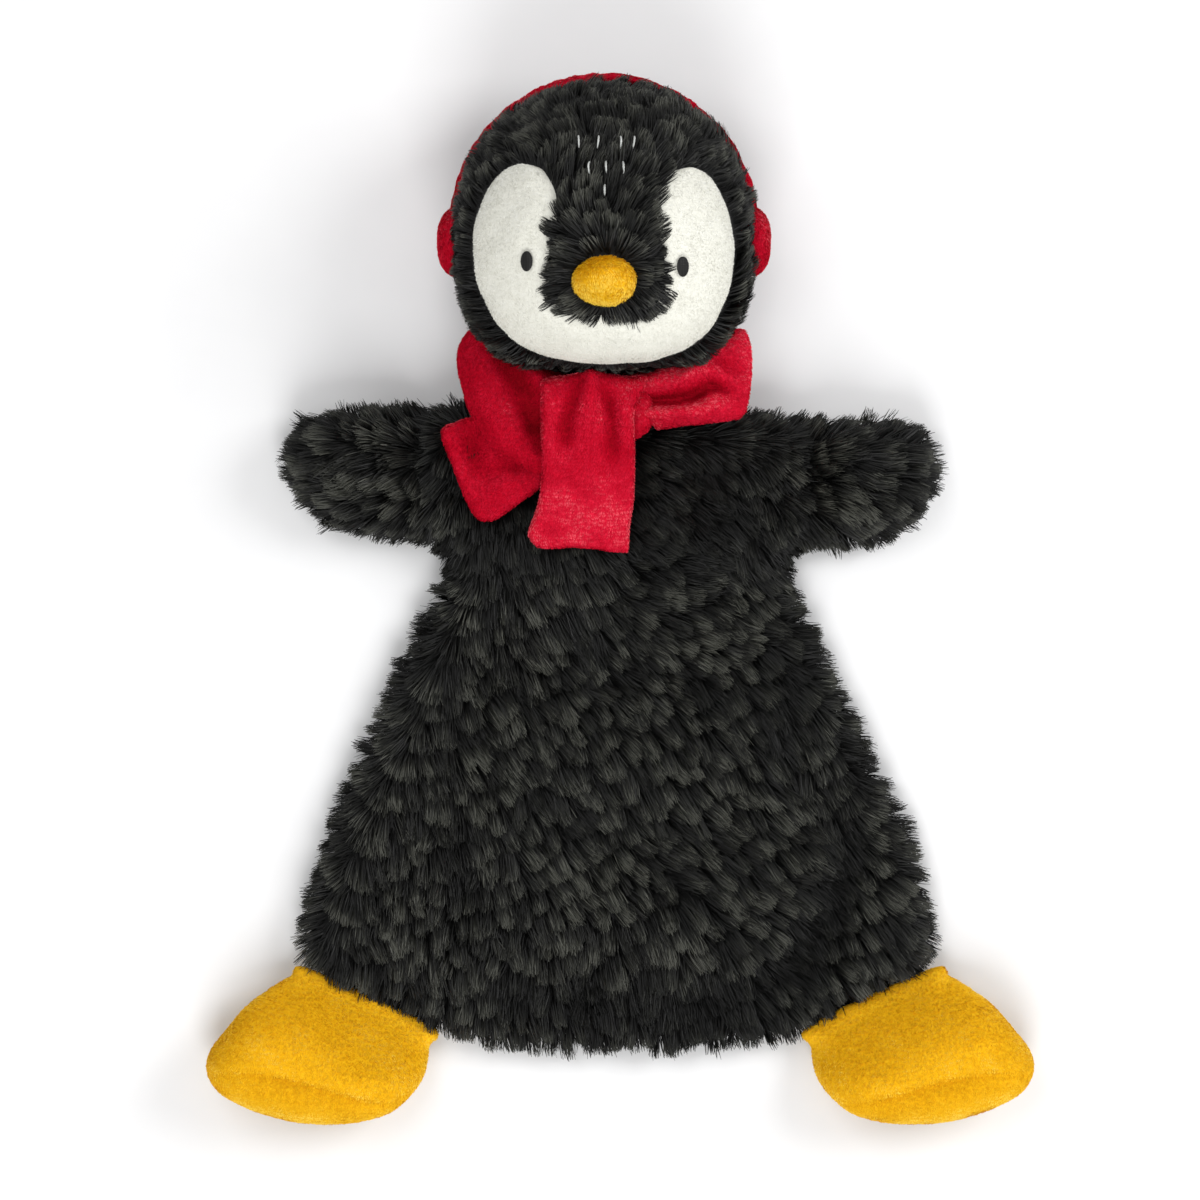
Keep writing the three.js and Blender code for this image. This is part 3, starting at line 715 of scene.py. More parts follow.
def make_body():
    """The fur cloth of the trunk and the arms, front and back."""
    for face, height, up, per_mm2, long, lift, seed in (
            ("front", body_top, 1, 3.6, 10.0, 34, 31), ("back", body_bottom, -1, 1.5, 9.0, 22, 32)):
        roots, normals = body_roots(per_mm2, height, up, seed)
        depth, outward = BODY.at(roots)
        comb = body_comb(roots, depth, outward)
        length = long * (0.82 + 0.18 * smooth(0, 12, depth))
        for number, (region, test) in enumerate(REGIONS.items()):
            mine = test(roots)
            here = roots[mine]
            points, shade = grow(here, normals[mine], comb[mine], length[mine], lift,
                                 41 + 3 * number, TUFTS[region])
            # Painted shade: the chest's fur is darker, for the shade round the scarf and the head,
            # and the front fur is darker down in the skirt's valleys. The ripple is tone that
            # differs at random.
            chest = smooth(-4, 20, here[:, 1]) * smooth(60, 36, np.abs(here[:, 0] - TORSO_X))
            painted_shade_and_tone = 1.16 - 0.36 * chest
            if up > 0:
                painted_shade_and_tone *= 1 - 0.4 * in_valley(here) + 0.1 * ripple(here[:, :2], 34, 45)
            skin = build_mesh(f"{region}_{face}_backing", *skin_grid(height, up, test), BACKING)
            if region == "trunk":
                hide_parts(f"torso_{face}_panel", f"skirt_{face}_panel")
            else:
                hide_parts(f"{region}_{face}_panel")
            fur = fur_pieces(f"{region}_{face}_fur", points, shade * painted_shade_and_tone[:, None], FUR)
            settle([skin, *fur], on_body(region))


def make_fillings():
    """Loose fibre inside the trunk and the arms, a little under the cloth all round."""
    inset = 1.6

    def top(p):
        return np.maximum(body_top(p) - inset, SEAM_Z)

    def bottom(p):
        return np.minimum(body_bottom(p) + inset, SEAM_Z)

    nodes = {"trunk": ("torso_filling", "skirt_filling"), "arm_left": ("arm_left_filling",),
             "arm_right": ("arm_right_filling",)}
    for region, test in REGIONS.items():
        upper, upper_quads = skin_grid(top, 1, test, inset)
        lower, lower_quads = skin_grid(bottom, -1, test, inset)
        stuffing(region, nodes[region], np.vstack([upper, lower]),
                 np.vstack([upper_quads, lower_quads + len(upper)]), on_body(region))


# ------------------------------------------------------------------ head
def face_lines(count):
    """The outer and inner edges of the white U, from the left lobe's top to the right one's."""
    outer = [(-23.2, 14.6), (-28.6, 13.0), (-33.2, 8.4), (-36.4, 1.5), (-37.7, -7), (-36.9, -16),
             (-33.2, -25.5), (-26.6, -33.8), (-15, -39), (0, -40.7), (15.5, -39.2), (26.8, -33.8),
             (32.8, -25.5), (35.8, -16), (36.4, -7), (34.9, 1.5), (32.0, 7.8), (28.6, 12.0),
             (23.2, 13.6)]
    inner = [(-23.2, 14.6), (-17.6, 12.6), (-14.4, 7.2), (-13.4, 0), (-15.2, -8), (-15.8, -18),
             (-12.6, -26), (0, -28), (12.6, -26.4), (16.2, -18), (15.4, -8), (13.6, 0), (14.4, 6.8),
             (17.6, 11.6), (23.2, 13.6)]
    return [spline(line, count, closed=False) for line in (outer, inner)]


HEAD_SEAM_Z = 27.0                  # where the front and back panels meet
HEAD_LOW_Z = 2.6                    # the ball is pressed flat on the table here
CHEEK_POWER = 2.6                   # an ellipsoid has 2, and fuller cheeks have more
BEAK_HOLE = (7.6, 6.2)              # half the size of the bare cloth under the beak
TONGUE = (0, -14)                   # the middle of the fur between the white lobes
TONGUE_HALF = (18, 19)              # and half its size
FACE_OUTER, FACE_INNER = face_lines(121)
FACE_PLAN = Plan(np.vstack([FACE_OUTER, FACE_INNER[-2:0:-1]]), step=0.5, margin=6)


def plump(y):
    """How much wider than an ellipsoid the head is at y, for full cheeks."""
    v = np.clip((HEAD[1] - y) / HEAD_RADII[1], 0, 0.985)
    return (1 - v ** CHEEK_POWER) ** (1 / CHEEK_POWER) / np.sqrt(1 - v * v)


def on_head(x, y):
    """Points of the front of the head at places given from the middle of the face."""
    px, py = x + FACE[0], y + FACE[1]
    across = (px - HEAD[0]) / (HEAD_RADII[0] * plump(py))
    inside = across ** 2 + ((py - HEAD[1]) / HEAD_RADII[1]) ** 2
    z = HEAD[2] + HEAD_RADII[2] * np.sqrt(np.maximum(1 - inside, 0.0))
    return np.stack([px, py, z], -1)


def head_ball(way):
    """Points of the head's skin in the given directions from its middle."""
    points = HEAD + way * HEAD_RADII
    points[:, 0] = HEAD[0] + (points[:, 0] - HEAD[0]) * plump(points[:, 1])
    return points


def head_normal(points):
    """Unit normals of the head's skin."""
    step = 0.5
    wide = plump(points[:, 1])
    widening = (plump(points[:, 1] + step) - plump(points[:, 1] - step)) / (2 * step)
    slope = (points - HEAD) / HEAD_RADII ** 2
    slope[:, 0] /= wide ** 2
    slope[:, 1] -= slope[:, 0] * (points[:, 0] - HEAD[0]) * widening / wide
    return unit(slope)


def head_roots(count, low_z, high_z, seed):
    """Points spread evenly over the ball between two heights, and their normals."""
    rng = np.random.default_rng(seed)
    points = head_ball(unit(rng.normal(size=(count, 3))))
    points = points[(points[:, 2] > low_z) & (points[:, 2] <= high_z)]
    normals = head_normal(points)
    flat = points[:, 2] < HEAD_LOW_Z
    points[flat, 2] = HEAD_LOW_Z
    normals[flat] = (0, 0, -1)
    return points, normals


def head_comb(points):
    """Away from the beak on every side, with a wandering lean."""
    away = unit((points - BEAK) * (1, 1, 0))
    wobble = np.stack([ripple(points, 24, 61 + n) for n in range(3)], 1)
    return away + 0.36 * wobble + (0, 0, -0.3)


def head_pile(places, rim, tongue, edge):
    """How long the pile is: shorter on the tongue, at the chin, by the eyes and under the band.
    Places are from the middle of the face, with their height over the table."""
    x, y, z = places.T
    length = np.where(tongue, 4.4 + 2.6 * edge, 5.2 + 2.8 * edge) + 1.2 * rim
    by_eye = np.exp(-((y + 12.4) / 5) ** 2) * tongue
    chin = smooth(-32, -38, y) * smooth(25, 14, np.abs(x))
    length *= (1 - 0.6 * by_eye * (1 - edge)) * (1 - 0.68 * chin)
    roots = places + (FACE[0], FACE[1], 0)
    cheek = smooth(-4, -20, y) * rim
    over_band = smooth(9, 4, np.abs(z - 36)) * smooth(-8, 16, x) * (y > 0)
    length += 1.2 * cheek * (1 - chin) + over_band * (1.2 + 1.5 * ripple(roots, 9, 68))
    under_band = (np.abs(z - BAND_Z) < 6) & (y > -4)
    band_pile = 3.0 + 2.6 * smooth(-16, 4, x) + 1.2 * ripple(roots, 9, 66)
    return np.where(under_band, band_pile, length)


def make_head_fur():
    """The cloth ball in two panels, and the pile on it round the face and the beak."""
    far = 99                            # beyond the ball, up or down
    area = 4 * np.pi * 38.5 ** 2        # of a ball about as big as the head
    for face, low, high, per_mm2, seed in (("front", HEAD_SEAM_Z, far, 3.4, 51),
                                           ("back", -far, HEAD_SEAM_Z, 2.4, 52)):
        roots, normals = head_roots(int(area * density(per_mm2)), low, high, seed)
        in_face, _ = FACE_PLAN.at(roots[:, :2] - FACE[:2])
        in_beak = np.hypot(*((roots - BEAK)[:, :2] / BEAK_HOLE).T) < 1
        bare = (roots[:, 2] > HEAD_SEAM_Z) & ((in_face > 0.2) | in_beak)
        roots, normals, in_face = roots[~bare], normals[~bare], in_face[~bare]
        places = roots - (FACE[0], FACE[1], 0)
        edge = smooth(0, 7, -in_face)
        rim = smooth(0.72, 0.98, np.hypot(*(roots - HEAD)[:, :2].T) / HEAD_RADII[0])
        tongue = (np.abs(places[:, :2] - TONGUE) < TONGUE_HALF).all(1)
        points, shade = grow(roots, normals, head_comb(roots),
                             head_pile(places, rim, tongue, edge), 30 + 26 * rim,
                             seed + 10, lattice(4.4, 5.2, 0))
        # Painted light: the head's fur is painted lighter than the body's, as the head is lit more
        # brightly.
        fur = fur_pieces(f"head_{face}_fur", points, 1.25 * shade, FUR)
        skin = head_skin(f"head_{face}_backing", low, high)
        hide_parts(f"head_{face}_panel")
        settle([*fur, skin], "head")


def head_skin(name, low, high):
    """The cloth ball under the pile, between two heights."""
    bottom, top = (math.asin(np.clip((z - HEAD[2]) / HEAD_RADII[2], -1, 1)) for z in (low, high))
    way, quads = globe(40, 96, bottom, top)
    points = head_ball(way * (1 - 0.3 / HEAD_RADII))
    points[:, 2] = np.maximum(points[:, 2], HEAD_LOW_Z)
    return build_mesh(name, points, quads, BACKING)


def make_head_fibre():
    """The filling, a little smaller than the cloth ball round it."""
    way, quads = globe(32, 48)
    points = head_ball(way * (1 - 2.5 / HEAD_RADII))
    points += 0.3 * ripple(points, 12, 57)[:, None]
    points[:, 2] = np.maximum(points[:, 2], 4.0)
    stuffing("head", ["head_filling"], points, quads, "head")


def make_face():
    """The white U: crowned cloth between its two seams, which dip under the fur."""
    across = 29
    v = np.linspace(0, 1, across)
    flat = FACE_OUTER[:, None] * (1 - v)[None, :, None] + FACE_INNER[:, None] * v[None, :, None]
    flat = flat.reshape(-1, 2)
    crown = np.tile(1 - np.abs(2 * v - 1) ** 3.2, len(FACE_OUTER))
    ends = np.sin(np.pi * np.linspace(0, 1, len(FACE_OUTER))) ** 0.25
    proud = -0.4 + 2.2 * crown * np.repeat(ends, across) + 0.12 * ripple(flat, 9, 71)
    points = on_head(flat[:, 0], flat[:, 1])
    points = points + head_normal(points) * proud[:, None]
    plush("face_patch", points, grid_quads(len(FACE_OUTER), across), "white", "head",
          (0, -1, -0.2), 72, fill=0.8, length=0.55, per_mm2=10, width=0.17)


def make_beak():
    """A small stuffed diamond with soft corners, sunk in the fur."""
    half = (BEAK_HIGH - BEAK_LOW)[:2] / 2 + (0.35, -0.3)    # a little wider, and shorter
    edge = [(-1.0, -0.06), (-0.87, -0.5), (-0.45, -0.88), (0, -1.0), (0.42, -0.95), (0.85, -0.58),
            (1.0, -0.04), (0.92, 0.44), (0.56, 0.84), (0.05, 1.0), (-0.45, 0.86), (-0.88, 0.44)]
    middle = BEAK[:2] - (0.5, 0.8)

    def base(p):
        return on_head(p[:, 0] + middle[0] - FACE[0], p[:, 1] + middle[1] - FACE[1])[:, 2]

    rise = BEAK_HIGH[2] - base(np.zeros((1, 2)))[0] + 0.5

    def top(p):
        across = np.hypot(p[:, 0] / half[0], p[:, 1] / half[1])
        return base(p) + rise * (1 - 0.35 * across ** 2) + 0.2 * ripple(p[:, :2], 6, 81)

    points, quads = cushion(spline(np.array(edge) * half, 160), top, lambda p: base(p) - 1.0,
                            lambda p: base(p) + 0.3, 5.4, step=0.55)
    points[:, :2] += middle
    # Painted light where the cloth falls away along the brushing, and painted shade where it rises,
    # from a velvet below zero.
    plush("beak", points, quads, "yellow", "head", (0.1, -1, 0), 82,
          nodes=("beak_cover", "beak_filling"), fill=0.9, length=1.15, per_mm2=12, velvet=-0.15,
          tone=flat_height(1.08))


# ------------------------------------------------------------------ eyes, stitches, earmuffs, neck
def make_eye(side, sign):
    """A satin-stitched oval: threads laid side by side across it."""
    rows, columns = 60, 26
    half = np.array([1.6, 2.65])
    middle = np.array([sign * 20.6 - 0.3, -13.4 - 0.7 * sign])
    t = np.linspace(-1, 1, rows)[:, None]
    u = np.linspace(-1, 1, columns)[None]
    thread = (t + 1) * half[1] / 0.42
    ragged = 1 + 0.05 * np.sin(2 * np.pi * thread)
    wide = np.sqrt(np.maximum(1 - t ** 2, 0.0)) * ragged
    x = middle[0] + half[0] * wide * u
    y = middle[1] + half[1] * t + 0 * u
    crown = (1 - t ** 2) * (1 - u ** 2)
    proud = 2.1 + 0.5 * crown ** 0.5 + 0.10 * np.abs(np.sin(np.pi * thread)) * (1 - u ** 2)
    points = on_head(x.ravel(), y.ravel())
    points += head_normal(points) * proud.reshape(-1, 1)
    piece = build_mesh(f"eye_{side}_satin", points, grid_quads(rows, columns)[:, ::-1], EYE_THREAD)
    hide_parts(f"eye_{side}")
    settle([piece], "head")


def thread_tube(name, path, radius, material):
    """Two-ply thread along a path: a tube with a twist round it."""
    rows, columns = len(path), 12
    along = unit(np.gradient(path, axis=0))
    side = unit(np.cross(along, (0.3, 0.1, 1)))
    up = np.cross(side, along)
    turn = full_turn(columns)
    twist = np.linspace(0, 5 * np.pi, rows)[:, None]
    ends = np.sin(np.pi * np.linspace(0.02, 0.98, rows)) ** 0.3
    r = radius * ends[:, None] * (1 + 0.16 * np.cos(2 * (turn + twist)))
    ring = side[:, None] * np.cos(turn)[..., None] + up[:, None] * np.sin(turn)[..., None]
    points = (path[:, None] + ring * r[..., None]).reshape(-1, 3)
    return build_mesh(name, points, grid_quads(rows, columns, wrap=True), material)


def make_stitches():
    """Eight loose pale stitches across the forehead, four, three and one."""
    # Each row has its places along x, its y, and the length of its stitches.
    rows = (((-7.2, -2.1, 3.8, 7.3), 18.7, 3.4), ((-4.2, 0.1, 4.5), 11.4, 3.3), ((-0.3,), 6.0, 2.9))
    rng = np.random.default_rng(91)
    number = 0
    for places, y, long in rows:
        for x in places:
            number += 1
            t = np.linspace(-0.5, 0.5, 15)
            bend = rng.uniform(-0.5, 0.5)
            px = x + bend * t + rng.uniform(-0.3, 0.3) * np.cos(np.pi * t)
            py = y + long * t + rng.uniform(-0.4, 0.4)
            proud = 2.1 + 1.5 * np.cos(np.pi * t) + rng.uniform(-0.3, 0.3)
            path = on_head(px, py)
            path += head_normal(path) * proud[:, None]
            piece = thread_tube(f"forehead_thread_{number}", path, 0.27, GREY_THREAD)
            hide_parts(f"forehead_stitch_{number}")
            settle([piece], "head")


def make_earmuff(side, sign):
    """A plump round pad of velboa with its seam round the middle, half buried in the fur."""
    rows, columns = 33, 60
    low, high = node_box(f"ear_cup_{side}")
    middle = (low + high) / 2
    outer_face = 47.3                   # how far out the pad reaches from the head's middle
    half, radius = 5.6, 9.8
    bend = np.linspace(-0.5, 0.5, rows)[:, None] * np.pi
    turn = full_turn(columns)
    across = np.sin(bend) * half
    out = np.cos(bend) ** 0.8 * radius * (1 - 0.04 * np.exp(-(across / 0.6) ** 2))
    out = out * (1 + 0.012 * np.sin(turn * 13 + 0.8) * np.exp(-(across / 2.2) ** 2))
    points = np.stack([HEAD[0] + sign * (outer_face - half + across) + 0 * turn,
                       middle[1] + out * np.cos(turn),
                       middle[2] + out * np.sin(turn)], -1).reshape(-1, 3)
    points += 0.18 * ripple(points, 9, 95)[:, None] * (0.4, 1, 1)
    plush(f"ear_cup_{side}", points, grid_quads(rows, columns, wrap=True)[:, ::-sign], "red",
          "head", (0, -1, 0.3), 96, fill=0.85)


def make_band():
    """The earmuff's stuffed band, over the crown from pad to pad, slightly puckered."""
    rows, columns = 150, 28
    arc = np.radians(np.linspace(6, 174, rows))[:, None]
    turn = full_turn(columns)
    low, high = node_box("earmuff_band")
    pucker = 1 + 0.10 * np.sin(arc * 40 + 2 * np.sin(arc * 7)) * np.cos(turn)
    r = (high - low)[0] / 2 - 1.4 + 1.5 * squarish(np.cos(turn)) * pucker
    points = np.stack([(low + high)[0] / 2 - 0.6 + r * np.cos(arc), FACE[1] - 0.8 + r * np.sin(arc),
                       BAND_Z + 4.4 * squarish(np.sin(turn)) + 0 * arc], -1).reshape(-1, 3)
    points += 0.15 * ripple(points, 12, 97)[:, None]
    plush("earmuff_band", points, grid_quads(rows, columns, wrap=True), "red", "head",
          (1, 0, 0.4), 98, fill=0.6)


def make_neck():
    """A short sleeve of the same fur between the shoulders and the head."""
    low, high = node_box("neck_sleeve")
    way, quads = globe(24, 40)
    points = way[:, [2, 0, 1]] * ((high - low) / 2 - 0.6) + (low + high) / 2
    points += 0.3 * ripple(points, 10, 101)[:, None]
    skin = build_mesh("neck_backing", points, quads, BACKING)
    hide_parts("neck_sleeve")
    roots, normals = scatter(points, quads, 2.2, 102)
    comb = np.tile((0.1, -1.0, 0.2), (len(roots), 1))
    strands, shade = grow(roots, normals, comb, 4.5, 20, 103, lattice(3.5, 3.5, 0))
    settle([skin, *fur_pieces("neck_fur", strands, shade, FUR)], "neck")


# ------------------------------------------------------------------ scarf
# The (y, height) of the front tail's middle layer, from its free end up to the chin.
TAIL_LIFT = [(10, 22.0), (16, 22.7), (25, 25.0), (36, 29.4), (44, 32.7), (50, 34.2), (56, 34.8),
             (61, 34.4), (65, 33.0), (68, 30.0)]
# Each fold is a path, its width, and its height, which is below zero in a valley.
FRONT_TAIL_FOLDS = [([(-9.6, 67), (-12.2, 60), (-15, 53), (-16, 42)], 2.2, -2.0),
                    ([(-6.6, 67), (-4.6, 59), (-2.2, 50), (-2.8, 38)], 2.2, -1.9),
                    ([(-8.4, 66), (-8.6, 57), (-9.4, 46)], 2.6, 1.5),
                    ([(0.6, 64), (0.8, 54), (1.0, 42)], 2.2, 1.1),
                    ([(-20, 61), (-20.4, 50), (-20.4, 38)], 2.2, 0.7),
                    ([(-22, 31), (-12, 28), (-2, 30)], 5.5, 1.3),
                    ([(-25, 20), (-15, 20.6), (-4, 19)], 3.0, -0.6)]
SIDE_TAIL_FOLDS = [([(-46.5, 52), (-42.3, 43), (-40.2, 35.5)], 3.0, -1.5),
                   ([(-40.2, 35.0), (-33, 38.4), (-26, 39)], 2.2, -1.1),
                   ([(-49, 45), (-44.6, 35), (-40, 27)], 2.6, 0.8),
                   ([(-38, 31), (-30, 34), (-24, 35)], 3.0, 1.1)]


def creases(relief):
    """How far each point lies down in a fold, from 0 to 1."""
    return np.clip(-relief / 2.5, 0, 1)


def painted_crease_shade(relief, points):
    """Painted shade: the pile is painted darker down in a fold."""
    return 1 - 0.6 * creases(relief(points))


def painted_light_low(points):
    """Painted light: the lower end of the front tail is painted lighter, as it catches more light.
    """
    return 0.95 + 0.32 * (1 - smooth(20, 46, points[:, 1]))


def make_front_tail():
    """The end that falls over the chest, in one strip from under the chin."""
    outline = spline([
        (-23.8, 15.6), (-19, 15.3), (-12, 15.4), (-5, 14.6), (1.6, 14.0), (2.4, 16), (2.6, 21),
        (3.7, 29), (4.0, 42), (3.7, 52), (4.8, 57), (6.9, 61), (7.0, 63.8), (2, 63.6), (-4.6, 64.6),
        (-8.4, 66.2), (-12.4, 64.2), (-21.4, 62.8), (-22.4, 58), (-22.4, 47), (-22.2, 36.5),
        (-23.4, 28), (-25.4, 22), (-26.2, 19)], 260)
    level = along_y(TAIL_LIFT)

    def lift(p):
        """The tail's middle layer, pinched up into a peak against the chin."""
        peak = np.exp(-((p[:, 0] + 8.6) / 5.5) ** 2) * smooth(55, 65, p[:, 1])
        return level(p) + 5.5 * peak

    def relief(p):
        up = smooth(30, 64, p[:, 1])
        return folded(p, FRONT_TAIL_FOLDS) + 0.3 * ripple(p[:, :2], 13, 111) * (1 - 0.5 * up)

    points, quads = cushion(outline, lambda p: lift(p) + 1.7 + relief(p),
                            lambda p: lift(p) - 1.7 + 0.6 * relief(p), lift, 1.5, step=0.8)
    # Painted shade down in the folds, and painted light on the lower end, on the cloth and its
    # pile.
    plush("scarf_front_tail", points, quads, "red",
          bend("torso", "scarf_front_tail", (0, 55.5), (0, 44.5)), (-0.15, -1, 0), 112,
          flat=(0.027, 0.056), held="hung", rests_on="scarf_knot_velboa",
          painted_shading=creases(relief(points)) - 2 * (painted_light_low(points) - 0.95),
          tone=lambda p: painted_light_low(p) * painted_crease_shade(relief, p))


def make_side_tail():
    """The other end, poking out from under the left bulge with one corner curled."""
    outline = spline([
        (-50.9, 46.6), (-48.2, 39.5), (-45.0, 31.0), (-42.2, 25.4), (-40.0, 23.2), (-36.6, 22.9),
        (-33.4, 24.6), (-28.5, 28.2), (-23.5, 31.8), (-20.5, 35.5), (-21, 41), (-27, 47), (-36, 52),
        (-42.8, 52.4), (-47, 50.9), (-50.2, 49.6)], 220)

    def seam(p):
        inward = smooth(-52, -26, p[:, 0])
        return 22.0 + 2.6 * inward + 1.6 * np.exp(-((p[:, 0] + 50) ** 2 + (p[:, 1] - 48) ** 2) / 22)

    def relief(p):
        return folded(p, SIDE_TAIL_FOLDS) + 0.3 * ripple(p[:, :2], 12, 114)

    points, quads = cushion(outline, lambda p: seam(p) + 1.7 + relief(p),
                            lambda p: seam(p) - 1.6 + 0.5 * relief(p), seam, 1.5, step=0.8)
    # Painted shade down in the folds, and painted shade over all the tail's pile, which pokes out
    # from under the left lobe.
    plush("scarf_side_tail", points, quads, "red", "scarf_side_tail", (-0.6, -0.8, 0), 115,
          flat=(0.027, 0.030), held="laid", rests_on="trunk_front_backing",
          painted_shading=creases(relief(points)), tone=lambda p: 0.82 * painted_crease_shade(relief, p))


# Crown: (x, height) along the top. Tone is painted light and shade for the pile, darker on the left
# lobe and lighter on the right one, and cloth_painted_light lightens the cloth under it as painted
# light, and darkens it as painted shade below zero.
LOBES = {
    "left": dict(
        outline=[(-40.4, 77.8), (-44.0, 76.0), (-46.2, 71.8), (-46.5, 67), (-45.2, 61),
                 (-43.2, 54.5), (-40.2, 49.0), (-36.6, 44.0), (-30.5, 39.8), (-22.8, 35.8),
                 (-14, 38), (-10, 48), (-11, 60), (-17, 66), (-25, 68.4), (-33, 73.2)],
        crown=[(-46, 26.0), (-36, 31.0), (-25, 31.8), (-18, 29.8), (-10, 28.5)],
        folds=[([(-37, 75), (-30, 65), (-25, 54), (-22, 41)], 4.4, -3.0),
               ([(-43, 70), (-38, 57), (-29, 45)], 5.0, 1.6),
               ([(-29, 70), (-22, 63), (-17, 52)], 3.0, 1.4),
               ([(-31, 61), (-25, 57), (-19, 56)], 2.0, 0.9),
               ([(-27, 49), (-23, 50.5), (-19, 51)], 1.7, -1.1)],
        comb=(-0.35, -0.9, 0), flat=(0.027, 0.040), tone=0.8, cloth_painted_light=-0.15, seed=121),
    "right": dict(
        outline=[(32.4, 77.4), (35.2, 77.2), (36.8, 74.2), (37.4, 69), (37.2, 63), (36.4, 56.6),
                 (34.4, 52.4), (27, 50.9), (18, 50), (10.8, 49.0), (8.3, 50.4), (2, 49.5),
                 (-6, 50.5), (-8, 58), (-2, 64), (7, 65.8), (14, 68.2), (21.6, 71.3), (27.2, 74.8)],
        crown=[(-8, 28.5), (3, 30.5), (10, 31.2), (24, 31.2), (37, 27.0)],
        folds=[([(2, 57), (10, 57.2), (19, 58.0), (25.5, 61.4), (31, 60)], 2.0, -4.4),
               ([(13, 60.4), (18, 63.4), (23, 66.2), (28.5, 65)], 2.2, 2.2),
               ([(14, 59.6), (18, 61.0), (22, 64)], 1.5, -1.6),
               ([(5, 62.5), (15, 67), (26, 72.4)], 3.0, 1.3),
               ([(6, 53), (18, 53.4), (31, 55)], 2.6, 1.4),
               ([(25, 69.5), (31, 66.5), (35.6, 65)], 2.4, -1.4)],
        comb=(0.5, -0.75, 0), flat=(0.027, 0.036), tone=1.16, cloth_painted_light=0.45, seed=124),
}


def make_lobe(side):
    """One of the two bulges where the strip folds back on itself beside the knot."""
    lobe = LOBES[side]
    x, z = np.array(lobe["crown"], float).T

    def relief(p):
        return folded(p, lobe["folds"])

    def top(p):
        return np.interp(p[:, 0], x, z) + 0.4 * ripple(p[:, :2], 15, lobe["seed"]) + relief(p)

    points, quads = cushion(spline(lobe["outline"], 260), top, flat_height(21.8),
                            flat_height(25.4), 5.0, step=0.85)
    # Painted shade down in the folds, and each lobe's painted light and shade from its entries
    # above.
    plush(f"scarf_{side}_lobe", points, quads, "red", "torso", lobe["comb"], lobe["seed"] + 1,
          flat=lobe["flat"], held="folded", rests_on="trunk_front_backing",
          painted_shading=creases(relief(points)) - lobe["cloth_painted_light"],
          tone=lambda p: lobe["tone"] * painted_crease_shade(relief, p))


def make_knot():
    """The wrap that holds the two ends together, almost hidden by the front end."""
    outline = spline([(-21, 44), (-12, 42.4), (-2, 43.6), (4.2, 46.0), (8.4, 49.2), (9.6, 54),
                      (8, 60), (2, 64), (-9, 65), (-18, 63), (-21.5, 54)], 180)
    top = along_y([(42, 27.5), (50, 31.0), (56, 31.6), (65, 29.0)])
    points, quads = cushion(outline, top, flat_height(22.0), flat_height(26.0), 3.0)
    plush("scarf_knot", points, quads, "red", "torso", (0.4, -0.9, 0), 128, flat=(0.027, 0.034),
          held="folded", rests_on="trunk_front_backing", per_mm2=7)


def make_neck_loop():
    """The strip where it goes round the back of the neck, gathered into soft ridges."""
    low, high = node_box("scarf_neck_loop")
    middle, half = (low + high) / 2, (high - low) / 2
    rows, columns = 120, 30
    turn = full_turn(rows).T
    c, s = np.cos(full_turn(columns)), np.sin(full_turn(columns))
    wide = (half[1] + 0.6) * squarish(s)
    ridge = 0.25 * np.sin(3.2 * wide + 1.5 * np.sin(2 * turn)) * (c > 0)
    reach = 1.25 * squarish(c) + ridge - 1.6
    points = np.stack([middle[0] + (half[0] + reach) * np.cos(turn),
                       middle[1] + wide + 0.5 * np.sin(3 * turn),
                       middle[2] + (half[2] + reach) * np.sin(turn)], -1).reshape(-1, 3)
    quads = grid_quads(rows + 1, columns, wrap=True)[:, ::-1] % len(points)
    plush("scarf_neck_loop", points, quads, "red", "torso", (0.1, -1, 0), 130,
          flat=(0.010, 0.115), held="gathered", rests_on="neck_backing", per_mm2=7)


# ------------------------------------------------------------------ feet
# The right foot. The left one is its mirror image.
HINGE_IN, HINGE_OUT = np.array([56.5, -124.8]), np.array([91.0, -107.0])
ANKLE_BEND = (-4, 7)                # how far before and beyond the hinge, given to bend
HINGE_WAY = unit(HINGE_OUT - HINGE_IN)
TOWARDS_TOE = np.array([HINGE_WAY[1], -HINGE_WAY[0]])
FOOT_EDGE = [(54.6, -122.5), (54.9, -129), (56.2, -136), (59.4, -141.6), (65, -146.4),
             (74, -149.2), (84, -150.2), (94, -149.6), (102.4, -147.5), (109.4, -144.7),
             (114.7, -141.5), (117.9, -137.6), (118.8, -133.6), (117.6, -129.2), (114.4, -124.4),
             (108.6, -117.6), (101.4, -111.8), (95, -108), (89.5, -106)]
# Where the top and sole panels meet round the toe, and the hollow beside that seam.
TOE_SEAM = [(117.6, -136.8), (112, -135.2), (105, -135.2), (94.3, -136.9), (83.2, -139.9),
            (72.1, -143.1), (63.8, -144.2), (60, -143.4)]
UNDER_SEAM = [(x, y - 3.6) for x, y in TOE_SEAM]
SOLE_TOP_Z = 12.2                   # the top panel is above this, and the sole panel below


